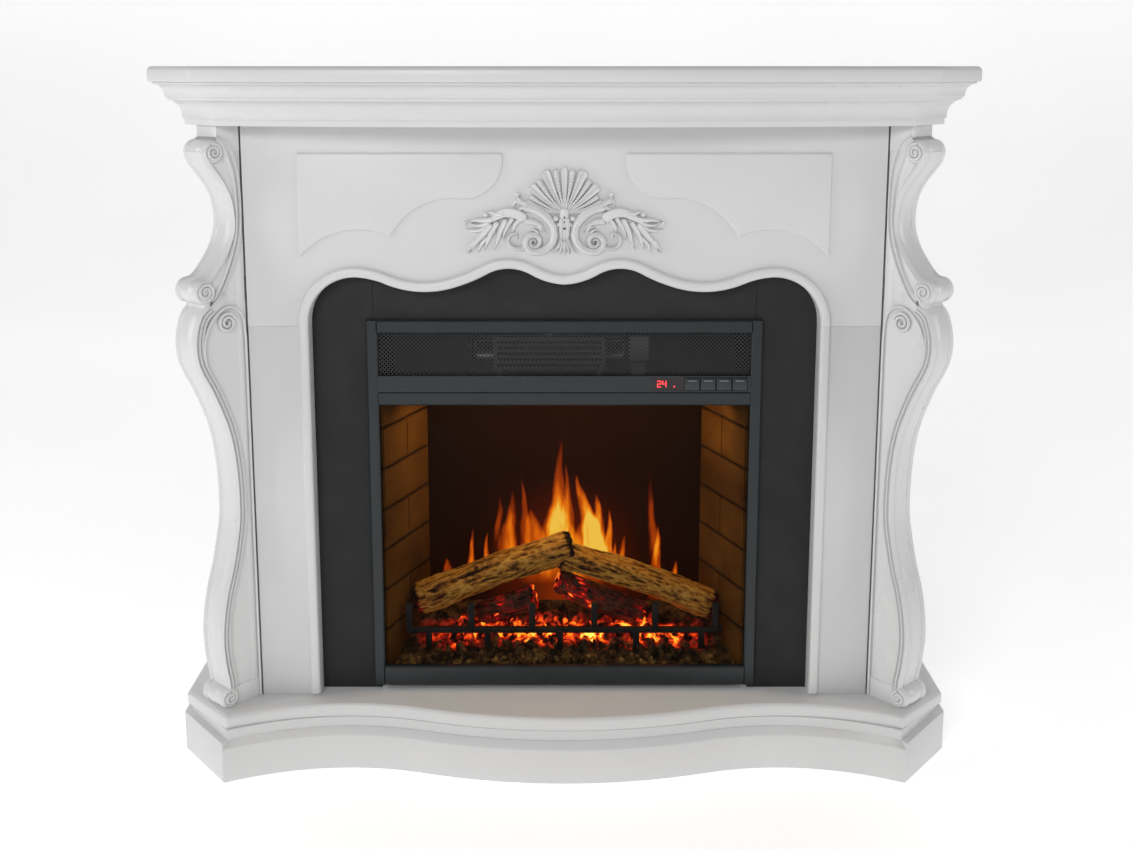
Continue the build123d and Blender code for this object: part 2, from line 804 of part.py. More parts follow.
with BuildPart() as blower_housing:
    bore_r = blower_r + housing_gap
    with BuildSketch(Plane.YZ.offset(blower_x - housing_half)):
        with Locations((blower_y, blower_z)):
            Circle(bore_r + 2)
            Circle(bore_r, mode=Mode.SUBTRACT)
        with Locations((blower_y - bore_r, blower_z)):
            Rectangle(bore_r, 2 * bore_r, mode=Mode.SUBTRACT)
        with Locations((blower_y, blower_z - bore_r - 19)):
            Rectangle(10, 38)
    extrude(amount=2 * housing_half)
    for x in (blower_x - housing_half - 2, blower_x + housing_half):
        with BuildSketch(Plane.YZ.offset(x)):
            with Locations((blower_y, blower_z)):
                Circle(bore_r + 2)
                Circle(shaft_r + running_gap, mode=Mode.SUBTRACT)
        extrude(amount=2)
finish(blower_housing, "blower_housing")

with BuildPart() as blower_rotor:
    blade_count = 20
    for x in (blower_x - blower_half_length, blower_x, blower_x + blower_half_length - 2):
        with BuildSketch(Plane.YZ.offset(x)):
            with Locations((blower_y, blower_z)):
                Circle(blower_r)
        extrude(amount=2)
    with BuildSketch(Plane.YZ.offset(blower_x - blower_half_length)):
        with Locations((blower_y, blower_z)):
            with PolarLocations(blower_r - 5, blade_count):
                Rectangle(8, 1.2, rotation=35)
    extrude(amount=2 * blower_half_length)
    with BuildSketch(Plane.YZ.offset(blower_x - housing_half - 8)):
        with Locations((blower_y, blower_z)):
            Circle(shaft_r)
    extrude(amount=2 * housing_half + 24)
finish(blower_rotor, "blower_rotor")

with BuildPart() as blower_motor:
    motor_face = blower_x + housing_half + 4
    with BuildSketch(Plane.YZ.offset(motor_face)):
        with Locations((blower_y, blower_z)):
            Rectangle(52, 48)
    extrude(amount=30)
    fillet(blower_motor.edges().filter_by(Axis.X), radius=6)
    with BuildSketch(Plane.YZ.offset(motor_face)):
        with Locations((blower_y, blower_z)):
            Circle(shaft_r + running_gap)
    extrude(amount=16, mode=Mode.SUBTRACT)
    box_between((motor_face + 4, blower_y - 15, window_top + 6), (motor_face + 26, blower_y + 15, blower_z - 20))
finish(blower_motor, "blower_motor")

with BuildPart() as thermal_cutout:
    with BuildSketch(Plane.XY.offset(heater_z[1])):
        with Locations((blower_x, (heater_y[0] + heater_y[1]) / 2)):
            Circle(8)
    extrude(amount=7)
finish(thermal_cutout, "thermal_cutout")

with BuildPart() as casing_screws:
    screw_x = casing_x - 12
    for z in (casing_bottom + 12, (casing_bottom + casing_top_z) / 2, casing_top_z - 12):
        for x in (-screw_x, screw_x):
            with BuildSketch(facing(casing_back_y)):
                with Locations((x, z)):
                    Circle(4)
            extrude(amount=-2.5)
finish(casing_screws, "casing_screws")
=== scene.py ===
"""Electric fireplace: a white carved mantel around a lit firebox insert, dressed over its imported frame."""
import json
import math
import random

import bpy
from mathutils import Matrix, Vector, noise

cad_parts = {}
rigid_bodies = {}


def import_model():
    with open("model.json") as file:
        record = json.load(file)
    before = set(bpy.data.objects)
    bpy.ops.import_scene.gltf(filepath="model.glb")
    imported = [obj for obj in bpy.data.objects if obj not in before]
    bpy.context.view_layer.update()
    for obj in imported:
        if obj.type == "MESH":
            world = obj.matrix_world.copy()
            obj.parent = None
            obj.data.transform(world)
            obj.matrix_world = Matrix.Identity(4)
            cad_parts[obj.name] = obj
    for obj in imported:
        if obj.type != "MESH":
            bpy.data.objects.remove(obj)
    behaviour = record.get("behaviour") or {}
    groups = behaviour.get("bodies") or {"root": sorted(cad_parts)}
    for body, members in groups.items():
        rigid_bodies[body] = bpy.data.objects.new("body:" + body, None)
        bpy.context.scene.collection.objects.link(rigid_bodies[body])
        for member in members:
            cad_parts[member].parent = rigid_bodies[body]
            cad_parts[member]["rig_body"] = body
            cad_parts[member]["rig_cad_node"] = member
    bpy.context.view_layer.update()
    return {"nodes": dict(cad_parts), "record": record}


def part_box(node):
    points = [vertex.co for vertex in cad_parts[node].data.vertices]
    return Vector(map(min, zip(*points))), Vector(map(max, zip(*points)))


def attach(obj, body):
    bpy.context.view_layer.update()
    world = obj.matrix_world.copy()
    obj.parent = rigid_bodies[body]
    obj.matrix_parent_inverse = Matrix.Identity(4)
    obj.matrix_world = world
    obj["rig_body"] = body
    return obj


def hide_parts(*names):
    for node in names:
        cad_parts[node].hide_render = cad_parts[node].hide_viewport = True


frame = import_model()
MM = 0.001
MANTEL = "mantel"
dice = random.Random(7)

# ---- camera -------------------------------------------------------------------------------------
bpy.ops.object.camera_add(location=(0, -1.961, 1.072), rotation=(math.radians(90 - 9.71), 0, 0))
camera = bpy.context.object
camera.data.lens = 41.3
camera.data.shift_x = 0.0018
camera.data.shift_y = -0.12
camera.data.clip_start = 0.02
bpy.context.scene.camera = camera
bpy.context.scene.view_settings.view_transform = "Standard"

# ---- where things are, all from the frame -------------------------------------------------------
panel_face_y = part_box("crest_ornament")[1].y
flange_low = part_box("frame_stile_right")[0]
bed_low, bed_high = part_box("ember_bed")
slab_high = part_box("hearth_slab")[1]
leg_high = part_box("leg_panel_right")[1]
screen_half = 226 * MM


# ---- hand tools ---------------------------------------------------------------------------------
def deselect():
    if bpy.context.object and bpy.context.object.mode != "OBJECT":
        bpy.ops.object.mode_set(mode="OBJECT")
    bpy.ops.object.select_all(action="DESELECT")


def pick(piece):
    deselect()
    piece.select_set(True)
    bpy.context.view_layer.objects.active = piece


def all_faces(operation, *args, **settings):
    """One edit-mode operator on everything in the active piece."""
    bpy.ops.object.mode_set(mode="EDIT")
    bpy.ops.mesh.select_all(action="SELECT")
    operation(*args, **settings)
    bpy.ops.object.mode_set(mode="OBJECT")


def join(pieces, name):
    pick(pieces[0])
    for piece in pieces:
        piece.select_set(True)
    if len(pieces) > 1:
        bpy.ops.object.join()
    pieces[0].name = name
    return pieces[0]


def settle(piece, name, material, body=MANTEL, stands_for=(), smooth=35):
    """Freezes a piece's place, points its faces out, paints it and sets it on its body."""
    pick(piece)
    bpy.ops.object.transform_apply(location=True, rotation=True, scale=True)
    all_faces(bpy.ops.mesh.normals_make_consistent, inside=False)
    bpy.ops.object.shade_smooth_by_angle(angle=math.radians(smooth))
    piece.name = name
    piece.data.materials.clear()
    piece.data.materials.append(material)
    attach(piece, body)
    if stands_for:
        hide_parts(*stands_for)
    return piece


def modify(piece, kind, **settings):
    pick(piece)
    modifier = piece.modifiers.new(kind.title(), kind)
    for key, value in settings.items():
        setattr(modifier, key, value)
    bpy.ops.object.modifier_apply(modifier=modifier.name)
    return piece


def copy_of(node):
    """A loose copy of a CAD node's shape, its corners merged and its flats made whole."""
    pick(frame["nodes"][node])
    bpy.ops.object.duplicate()
    piece = bpy.context.object
    piece.parent = None
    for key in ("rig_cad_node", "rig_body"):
        del piece[key]
    bpy.ops.mesh.customdata_custom_splitnormals_clear()
    all_faces(bpy.ops.mesh.remove_doubles, threshold=0.00001)
    all_faces(bpy.ops.mesh.dissolve_limited, angle_limit=math.radians(0.4))
    return piece


def eased(node, width, material, body=MANTEL, segments=2, smooth=35):
    """Stands for a node with the same shape, its sharp edges rounded by width."""
    piece = copy_of(node)
    modify(piece, "BEVEL", width=width, segments=segments, limit_method="ANGLE", angle_limit=math.radians(32))
    return settle(piece, f"{node}_skin", material, body, (node,), smooth)


def mirrored(piece):
    """The same piece on the other side of the middle, as a mesh of its own."""
    pick(piece)
    bpy.ops.object.duplicate()
    other = bpy.context.object
    other.data.transform(Matrix.Scale(-1, 4, (1, 0, 0)))
    return other


def rolled(around, along, place, closed_ends=True):
    """A grid rolled up into a skin: place(turn, run) gives each point, turn and run going from 0 to 1."""
    deselect()
    bpy.ops.mesh.primitive_grid_add(x_subdivisions=around, y_subdivisions=along, size=1)
    piece = bpy.context.object
    for vertex in piece.data.vertices:
        vertex.co = place(vertex.co.x + 0.5, vertex.co.y + 0.5)
    all_faces(bpy.ops.mesh.remove_doubles, threshold=0.000001)
    if closed_ends:
        bpy.ops.object.mode_set(mode="EDIT")
        bpy.ops.mesh.select_mode(type="EDGE")
        bpy.ops.mesh.select_all(action="DESELECT")
        bpy.ops.mesh.select_non_manifold()
        bpy.ops.mesh.edge_face_add()
        bpy.ops.mesh.select_mode(type="VERT")
        bpy.ops.object.mode_set(mode="OBJECT")
    return piece


def bead_line(points, radii, sides=2, cyclic=False):
    """A rounded strip through the points, thick as radii says (one number, or one for each point)."""
    deselect()
    curve = bpy.data.curves.new("strip", "CURVE")
    curve.dimensions = "3D"
    curve.bevel_depth = 1.0
    curve.bevel_resolution = sides
    curve.use_fill_caps = True
    spline = curve.splines.new("POLY")
    spline.points.add(len(points) - 1)
    for index, (spot, point) in enumerate(zip(spline.points, points)):
        spot.co = (*point, 1)
        spot.radius = radii if isinstance(radii, float) else radii[index]
    spline.use_cyclic_u = cyclic
    piece = bpy.data.objects.new("strip", curve)
    bpy.context.scene.collection.objects.link(piece)
    pick(piece)
    bpy.ops.object.convert(target="MESH")
    return bpy.context.object


def flowing(points, steps):
    """Evenly run points of a smooth line through given ones (Catmull-Rom)."""
    ends = [points[0]] + list(points) + [points[-1]]
    line = []
    for index in range(steps + 1):
        run = index / steps * (len(points) - 1)
        span = min(int(run), len(points) - 2)
        t = run - span
        a, b, c, d = (Vector(ends[span + k]) for k in range(4))
        straight = 2 * b + (c - a) * t
        line.append(0.5 * (straight + (2 * a - 5 * b + 4 * c - d) * t**2 + (3 * b - a - 3 * c + d) * t**3))
    return line


# ---- finishes -----------------------------------------------------------------------------------
class Wire:
    """A shader value that takes part in plain arithmetic."""

    def __init__(self, finish, socket):
        self.finish = finish
        self.socket = socket

    def math(self, operation, *values):
        inputs = dict(enumerate((self, *values)))
        return self.finish.node("ShaderNodeMath", {"operation": operation}, inputs)

    def __add__(self, other):
        return self.math("ADD", other)

    __radd__ = __add__

    def __mul__(self, other):
        return self.math("MULTIPLY", other)

    __rmul__ = __mul__

    def __sub__(self, other):
        return self.math("SUBTRACT", other)

    def __rsub__(self, other):
        return (self * -1.0) + other

    def __truediv__(self, other):
        return self.math("DIVIDE", other)

    def __pow__(self, other):
        return self.math("POWER", other)


class Finish:
    """One painted, moulded or metal surface, with its shader's steady values set by name."""

    def __init__(self, name, **steady):
        self.material = bpy.data.materials.new(name)
        self.material.use_nodes = True
        self.tree = self.material.node_tree
        self.shader = self.tree.nodes["Principled BSDF"]
        for key, value in steady.items():
            self.shader.inputs[key.replace("_", " ")].default_value = value

    def node(self, kind, settings=None, inputs=None, output=0):
        made = self.tree.nodes.new(kind)
        for key, value in (settings or {}).items():
            if key == "stops":
                ramp = made.color_ramp
                while len(ramp.elements) < len(value):
                    ramp.elements.new(0.5)
                for element, (position, color) in zip(ramp.elements, value):
                    element.position = position
                    element.color = (*color, 1)
            else:
                setattr(made, key, value)
        for key, value in (inputs or {}).items():
            self.feed(made.inputs[key], value)
        return Wire(self, made.outputs[output])

    def feed(self, socket, value):
        if isinstance(value, Wire):
            self.tree.links.new(value.socket, socket)
        else:
            socket.default_value = value

    def wear(self, **wired):
        """Feeds values that vary over the surface into the shader."""
        for key, value in wired.items():
            self.feed(self.shader.inputs[key.replace("_", " ")], value)

    def place(self, scale=(1, 1, 1), turn=(0, 0, 0), shift=(0, 0, 0)):
        spot = self.node("ShaderNodeTexCoord", output=3)
        inputs = {"Vector": spot, "Scale": scale, "Rotation": turn, "Location": shift}
        return self.node("ShaderNodeMapping", None, inputs)

    def noise(self, size, detail=3.0, rough=0.5, at=None, warp=0.0):
        settings = {"Vector": at or self.place(), "Scale": 1 / size, "Detail": detail, "Roughness": rough}
        return self.node("ShaderNodeTexNoise", None, {**settings, "Distortion": warp})

    def tint(self, color, shade):
        """A colour multiplied by a value."""
        return self.node("ShaderNodeVectorMath", {"operation": "SCALE"}, {0: color, 3: shade})

    def ramp(self, value, *stops):
        return self.node("ShaderNodeValToRGB", {"stops": stops}, {"Fac": value})

    def bump(self, height, depth, strength=1.0):
        return self.node("ShaderNodeBump", None, {"Height": height, "Distance": depth, "Strength": strength})

    def spread(self, value, low, high, to_low=0.0, to_high=1.0):
        names = ("Value", "From Min", "From Max", "To Min", "To Max")
        inputs = dict(zip(names, (value, low, high, to_low, to_high)))
        return self.node("ShaderNodeMapRange", {"clamp": True}, inputs)

    def axes(self):
        parts = self.node("ShaderNodeSeparateXYZ", None, {0: self.place()}).socket.node
        return [Wire(self, parts.outputs[index]) for index in range(3)]


def grey(level, warm=0.0):
    return (level * (1 + warm), level, level * (1 - warm))


def lacquer(name, level, spread, gloss, peel=0.00006):
    """Sprayed satin lacquer: faint cloudiness, brushed-out roughness and a fine orange peel."""
    paint = Finish(name, Specular_IOR_Level=0.45)
    cloud = paint.noise(0.22, 4.0)
    fine = paint.noise(0.0022, 2.0)
    paint.wear(
        Base_Color=paint.ramp(cloud, (0.3, grey(level - spread)), (0.7, grey(level))),
        Roughness=paint.spread(paint.noise(0.05, 4.0), 0.3, 0.7, gloss - 0.05, gloss + 0.06),
        Normal=paint.bump(fine, peel),
    )
    return paint.material


def sheet_metal(name, color, gloss, metallic=0.0):
    metal = Finish(name, Metallic=metallic)
    cloud = metal.noise(0.03, 5.0)
    darker = tuple(0.7 * part for part in color)
    metal.wear(
        Base_Color=metal.ramp(cloud, (0.3, darker), (0.7, color)),
        Roughness=metal.spread(cloud, 0.3, 0.7, gloss - 0.06, gloss + 0.08),
        Normal=metal.bump(metal.noise(0.0009, 2.0), 0.00004),
    )
    return metal.material


def glazing(name, color, alpha, gloss):
    pane = Finish(name, Base_Color=(*color, 1), Alpha=alpha, Specular_IOR_Level=0.02)
    pane.wear(Roughness=pane.spread(pane.noise(0.08, 3.0), 0.3, 0.7, gloss, gloss + 0.03))
    return pane.material


white_paint = lacquer("satin_white_lacquer", 0.66, 0.025, 0.34)
carved_white = lacquer("satin_white_carving", 0.68, 0.03, 0.30, 0.00009)
charcoal_paint = lacquer("charcoal_lacquer", 0.012, 0.0015, 0.7)
frame_enamel = sheet_metal("blue_black_enamel", (0.009, 0.014, 0.017), 0.34)
casing_paint = sheet_metal("matt_black_sheet", (0.02, 0.02, 0.021), 0.6)
grille_black = sheet_metal("mesh_black", (0.016, 0.016, 0.018), 0.42)
grate_iron = sheet_metal("black_grate_iron", (0.008, 0.007, 0.006), 0.55)
plated_steel = sheet_metal("plated_steel", (0.30, 0.30, 0.31), 0.42, 1.0)
bright_vane = sheet_metal("mirror_vane", (0.8, 0.8, 0.8), 0.12, 1.0)
heater_fin = sheet_metal("heater_fin", (0.12, 0.11, 0.09), 0.5, 0.6)
strip_gloss = sheet_metal("strip_gloss", (0.010, 0.015, 0.019), 0.26)
key_gloss = sheet_metal("key_gloss", (0.022, 0.024, 0.028), 0.22)
# Painted highlight: a pale grey for the thin bars that stand in for the light along each key's top edge.
painted_key_highlight = sheet_metal("painted_key_highlight", (0.30, 0.32, 0.34), 0.4)
# Painted shade: a near-black finish for the balls that stand in for the shadow inside the crest's punch
# holes.
shadow_wash = sheet_metal("painted_hole_shade", (0.05, 0.048, 0.045), 0.7)
lens_gloss = sheet_metal("smoked_lens", (0.014, 0.006, 0.006), 0.18)
board_green = sheet_metal("solder_mask", (0.02, 0.09, 0.035), 0.4)
gland_rubber = sheet_metal("gland_rubber", (0.02, 0.02, 0.02), 0.7)
clear_glass = glazing("clear_pane", (0.004, 0.003, 0.002), 0.25, 0.08)


def lit_digit_finish():
    lamp = Finish("red_digit", Emission_Strength=3.0, Roughness=0.4)
    glow = lamp.noise(0.002, 2.0)
    lamp.wear(
        Base_Color=lamp.ramp(glow, (0.3, (0.3, 0.01, 0.01)), (0.7, (0.45, 0.02, 0.02))),
        Emission_Color=lamp.ramp(glow, (0.3, (0.75, 0.02, 0.03)), (0.7, (1.0, 0.05, 0.06))),
    )
    return lamp.material


red_glow = lit_digit_finish()


def brick_finish():
    brick = Finish("fired_clay", Specular_IOR_Level=0.2)
    soot = brick.noise(0.09, 5.0)
    grain = brick.noise(0.004, 4.0)
    _, _, height = brick.axes()
    wobble = (brick.noise(0.012, 3.0) - 0.5) * 0.004
    course = ((height + wobble - 0.129) / 0.0655).math("FRACT")
    joint = brick.spread((course - 0.5).math("ABSOLUTE"), 0.44, 0.485, 1.0, 0.16)
    clay = brick.ramp(soot * 0.6 + grain * 0.4, (0.36, (0.060, 0.020, 0.002)), (0.64, (0.19, 0.078, 0.009)))
    brick.wear(
        Base_Color=brick.tint(clay, joint),
        Roughness=brick.spread(grain, 0.3, 0.7, 0.7, 0.9),
        Normal=brick.bump(grain + brick.noise(0.018, 3.0) * 2.0, 0.0006),
    )
    return brick.material


def bark_finish(name, tones, glow_from, glow_to, strength):
    """Painted resin bark: colour follows the furrows, near black deep in them and pale gold on the raised
    plates, partly the bark's own tone and partly painted shade and painted highlight; char and a glow gather
    low down.
    """
    bark = Finish(name, Emission_Strength=strength, Specular_IOR_Level=0.35)
    furrow = bark.node("ShaderNodeAttribute", {"attribute_name": "furrow"}, output=2)
    fine = bark.noise(0.003, 4.0, 0.6)
    patches = bark.noise(0.035, 4.0)
    _, _, height = bark.axes()
    # Partly painted shade and painted highlight: the tone darkens into the furrows and lightens on the raised
    # plates.
    tone = furrow * 0.55 + fine * 0.25 + patches * 0.30
    low = bark.spread(height + (patches - 0.5) * 0.05, glow_from, glow_to, 1.0, 0.0)
    patches = low * bark.spread(bark.noise(0.013, 5.0, 0.65), 0.46, 0.62)
    heat = patches * bark.spread(furrow, 0.2, 0.7, 1.0, 0.2)
    heat = heat * bark.spread(bark.noise(0.045, 3.0), 0.40, 0.60, 0.25, 1.15)
    bark.wear(
        Base_Color=bark.ramp(tone, *tones),
        Roughness=bark.spread(tone, 0.3, 0.8, 0.9, 0.55),
        Emission_Color=bark.ramp(
            heat, (0.0, (0, 0, 0)), (0.2, (0.06, 0.0005, 0.0005)), (0.5, (0.36, 0.004, 0.003)),
            (0.8, (0.85, 0.05, 0.004)), (1.0, (1.0, 0.36, 0.03))
        ),
        Normal=bark.bump(fine + bark.noise(0.009, 4.0) * 1.5, 0.0012),
    )
    return bark.material


def ember_finish(name, strength, ash, hot=(0.30, 0.62)):
    """Coals lit from below: ash on top, glowing cracks, brightest in a band along the grate."""
    coal = Finish(name, Emission_Strength=strength, Specular_IOR_Level=0.3)
    lumps = coal.noise(0.016, 5.0, 0.62)
    patches = coal.noise(0.05, 3.0)
    side, depth, _ = coal.axes()
    band = coal.spread((depth + (patches - 0.5) * 0.03 - 0.047).math("ABSOLUTE"), 0.006, 0.030, 1.0, 0.0)
    sideways = coal.spread(side.math("ABSOLUTE"), 0.16, 0.245, 1.0, 0.0)
    heat = coal.spread(lumps, 0.44, 0.60) * coal.spread(patches, *hot, 0.15, 1.1) * band * sideways
    coal.wear(
        Base_Color=coal.ramp(
            lumps, (0.36, (0.010, 0.005, 0.003)), (0.5, tuple(0.3 * c for c in ash)), (0.66, ash)
        ),
        Roughness=coal.spread(lumps, 0.3, 0.7, 0.95, 0.7),
        Emission_Color=coal.ramp(
            heat, (0.0, (0, 0, 0)), (0.2, (0.14, 0.002, 0.001)), (0.45, (0.62, 0.045, 0.003)),
            (0.7, (1.0, 0.24, 0.012)), (1.0, (1.0, 0.60, 0.08))
        ),
        Normal=coal.bump(lumps, 0.002),
    )
    return coal.material


bark_tones = (
    (0.28, (0.008, 0.003, 0.001)),
    (0.42, (0.070, 0.024, 0.003)),
    (0.54, (0.25, 0.095, 0.010)),
    (0.68, (0.58, 0.255, 0.028)),
    (0.88, (0.88, 0.500, 0.095)),
)
char_tones = (
    (0.35, (0.006, 0.003, 0.002)),
    (0.55, (0.035, 0.010, 0.005)),
    (0.85, (0.13, 0.050, 0.022)),
)
brick_clay = brick_finish()
bark = bark_finish("painted_bark", bark_tones, 0.19, 0.225, 1.3)
charred_bark = bark_finish("charred_bark", char_tones, 0.25, 0.33, 2.4)
ember_coals = ember_finish("ember_coals", 3.4, (0.20, 0.105, 0.030))
ash_lumps = ember_finish("ash_lumps", 0.8, (0.40, 0.235, 0.070))


# each tongue: tip across, tip height, foot across, foot height, half width (millimetres), heat
tongues = (
    (-3, 470, -14.5, 318, 16, 0.60),
    (5.5, 425, 5.5, 294, 13, 0.68),
    (22, 405, 48, 285, 19, 1.05),
    (56, 372, 54, 277, 15, 0.98),
    (75, 345, 73, 262, 10, 1.0),
    (-73, 402, -66, 308, 9, 0.48),
    (-88, 378, -96, 262, 18, 0.68),
    (-108, 372, -111, 316, 6, 0.36),
    (-127, 304, -129, 248, 7, 0.95),
    (-149, 312, -158, 246, 8, 0.72),
    (-197, 262, -190, 222, 12, 0.9),
    (86, 288, 84, 250, 6, 0.8),
    (101, 300, 94, 246, 8, 0.75),
    (140, 415, 147, 285, 9, 0.42),
    (155, 318, 150, 222, 12, 1.05),
    (189, 256, 181, 214, 12, 0.95),
    (-14, 372, -8, 262, 44, 0.72),
    (-58, 345, -46, 258, 32, 0.60),
    (40, 340, 44, 258, 46, 0.90),
)


def flame_finish():
    """The picture of fire that plays on the screen: tongues with hot feet over a dull red haze."""
    unlit = (0.006, 0.002, 0.001, 1)
    fire = Finish("fire_screen", Emission_Strength=1.5, Specular_IOR_Level=0.1, Base_Color=unlit)
    side, _, height = fire.axes()
    sway = fire.noise(0.06, 3.0, 0.55, fire.place(scale=(1, 1, 0.6)))
    side = side + (sway - 0.5) * 0.022
    licks = fire.noise(0.016, 3.0, 0.55, fire.place(scale=(1, 1, 0.22)))
    total = None
    for tip, tip_height, foot, foot_height_mm, half, heat in tongues:
        rise = fire.spread(height, foot_height_mm * MM, tip_height * MM)
        across = (side - rise * ((tip - foot) * MM) - foot * MM) / ((1.02 - rise) ** 0.75 * (half * MM))
        body = (1.0 - across * across).math("MAXIMUM", 0.0)
        foot_fade = fire.spread(height, (foot_height_mm - 45) * MM, foot_height_mm * MM)
        tongue = body ** 0.8 * foot_fade * (1.0 - rise) ** 0.45 * heat
        total = tongue if total is None else total + tongue * (1.0 - total * 0.55)
    total = total * fire.spread(licks, 0.32, 0.62, 0.35, 1.05)
    off_middle = side.math("ABSOLUTE")
    haze = fire.spread(off_middle, 0.0, 0.23, 0.12, 0.045) * fire.spread(height, 0.26, 0.54, 1.0, 0.5)
    halo = fire.spread(off_middle, 0.0, 0.15, 0.22, 0.0) * fire.spread(height, 0.26, 0.41, 1.0, 0.0)
    fire.wear(
        Roughness=fire.spread(licks, 0.3, 0.7, 0.6, 0.7),
        Emission_Color=fire.ramp(
            total + haze + halo,
            (0.0, (0.001, 0.0003, 0.0)),
            (0.10, (0.012, 0.0014, 0.0002)),
            (0.22, (0.070, 0.0055, 0.0003)),
            (0.42, (0.36, 0.040, 0.001)),
            (0.62, (0.80, 0.150, 0.003)),
            (0.82, (1.0, 0.33, 0.010)),
            (1.0, (1.0, 0.60, 0.070)),
        )
    )
    return fire.material


# ---- mantel -------------------------------------------------------------------------------------
soft_edges = {
    "leg_panel_left": 1.0,
    "leg_panel_right": 1.0,
    "shelf_board": 2.0,
    "crown_front": 0.8,
    "crown_end_left": 0.8,
    "crown_end_right": 0.8,
    "hearth_slab": 1.6,
    "plinth_front": 1.4,
    "plinth_end_left": 1.4,
    "plinth_end_right": 1.4,
    "field_panel_left": 0.8,
    "field_panel_right": 0.8,
}
for node_name, ease in soft_edges.items():
    eased(node_name, ease * MM, white_paint)

paint_by_slot = {
    "mantel_paint": white_paint,
    "carved_paint": carved_white,
    "surround_board": charcoal_paint,
    "frame_enamel": frame_enamel,
    "casing_steel": casing_paint,
    "tinted_glass": clear_glass,
    "strip_plastic": strip_gloss,
    "display_lens": lens_gloss,
    "key_plastic": key_gloss,
    "circuit_board": board_green,
    "brick_liner": brick_clay,
    "screen_film": flame_finish(),
    "ember_resin": ember_coals,
    "log_resin": bark,
    "grate_iron": grate_iron,
    "spindle_chrome": bright_vane,
    "motor_metal": plated_steel,
    "heater_metal": heater_fin,
    "rotor_metal": plated_steel,
    "rubber_gland": gland_rubber,
    "screw_steel": plated_steel,
}
for subpart in frame["record"]["subparts"]:
    node_mesh = frame["nodes"][subpart["node"]].data
    node_mesh.materials.clear()
    node_mesh.materials.append(paint_by_slot[subpart["material_slot"]])

# ---- consoles -----------------------------------------------------------------------------------
# A console is drawn in its own plane: out from the corner, up, and across its width, in millimetres.
console_turn = math.radians(48)
out_way = Vector((math.cos(console_turn), -math.sin(console_turn), 0))
across_way = Vector((math.sin(console_turn), math.cos(console_turn), 0))
console_root = Vector((leg_high.x + 2 * MM, panel_face_y - 0.5 * MM, 0))
console_width = 50.0
rim_width = 9.0
neck_out = 38.0
foot_height = slab_high.z / MM
head_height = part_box("console_right")[1].z / MM

upper_front = (
    (61, 951), (57, 937), (45, 921), (31, 903), (20, 881), (15, 856),
    (16, 834), (25, 811), (40, 789), (57, 770), (68, 765),
)
upper_mid = (
    (40, 968), (30, 960), (23, 940), (15.5, 916), (12, 886),
    (11.5, 850), (16, 821), (27, 788), (38, 764), (49, 745), (58, 735),
)
upper_inner = (
    (36, 974), (23, 968), (12, 953), (4, 921), (1.5, 884),
    (2, 846), (6, 817), (17, 786), (31, 759), (45, 737), (60, 727),
)
lower_front = (
    (62, 728), (76, 717), (85, 697), (89, 672), (86.5, 646), (78, 624), (65, 599),
    (51.5, 567), (40.5, 535), (33.5, 501), (29.5, 461), (28.5, 420), (30, 388), (36, 356),
    (45, 318), (56, 283), (64, 244), (67, 207), (64, 168), (59, 138), (60, 124),
)
arch_line = (
    (72, 640), (74, 664), (69, 688), (57, 708), (39, 721), (21, 720), (8, 706),
    (4, 680), (3.4, 640), (3.2, 420), (3.2, 250), (3.2, foot_height + 3),
)


def console_point(out, height, across):
    return console_root + (out * out_way + across * across_way + Vector((0, 0, height))) * MM


def band_height(across):
    """How far the front stands out of its outline: a round rim along each edge and a soft swell between."""
    edge = max(0.0, min(across, console_width - across))
    if edge < rim_width:
        return 4.2 * math.sin(math.pi * (0.15 + 0.85 * edge / rim_width)) ** 0.8 - 1.6
    inner = (edge - rim_width) / (console_width / 2 - rim_width)
    return 2.6 * math.sin(math.pi / 2 * min(1.0, 0.1 + 1.5 * inner)) - 0.4


def scroll_section(front, mid, inner, outward):
    """One slice of the upper scroll: corner board, two side ribs, a sunk field and the banded front."""
    side = []
    steps_in = ((0.0, 1.8), (0.1, -2.6), (0.26, -2.8), (0.38, 1.6), (0.62, 1.6), (0.76, -2.6), (0.92, -3.0))
    for share, across in steps_in:
        side.append((inner.lerp(mid, share), across))
    for share, across in ((0.06, -1.6), (0.14, 2.2), (0.72, 2.2), (0.82, -1.8), (0.92, -3.2)):
        side.append((mid.lerp(front, share), across))
    return finish_slice(side, front, outward)


def ribbed_section(front, mid, inner, outward):
    """One slice of the lower scroll: three ribs beside the banded front."""
    side = []
    steps_in = (
        (15, 1.8), (14, -2.4), (12, -2.8), (10.4, 1.6), (9.2, 1.6),
        (8, -2.6), (6.4, -2.6), (5.2, 1.6), (4, 1.6),
    )
    for depth, across in steps_in:
        side.append((front - outward * depth, across))
    side += [(front - outward * 2.8, -2.2), (front - outward * 1.2, -3.0)]
    return finish_slice(side, front, outward)


def finish_slice(side, front, outward):
    """Closes a slice with its front band, the mirrored far side and the back corners on the board."""
    band = [(front + outward * band_height(across), across) for across in range(0, int(console_width) + 1, 2)]
    near = [console_point(spot.x, spot.y, across) for spot, across in side]
    far = [console_point(spot.x, spot.y, console_width - across) for spot, across in reversed(side)]
    back = [console_point(0.0, front.y, console_width - 1.4), console_point(0.0, front.y, 1.4)]
    return near + [console_point(spot.x, spot.y, across) for spot, across in band] + far + back


def scroll_body(front, mid, inner, section, steps):
    lines = [flowing([Vector((*point, 0)) for point in line], steps) for line in (front, mid, inner)]
    slices = []
    for index in range(steps + 1):
        ahead = lines[0][min(index + 1, steps)] - lines[0][max(index - 1, 0)]
        outward = Vector((-ahead.y, ahead.x, 0)).normalized()
        slices.append(section(*(line[index] for line in lines), outward))
    around = len(slices[0])
    return rolled(around, steps, lambda turn, run: slices[round(run * steps)][round(turn * around) % around])


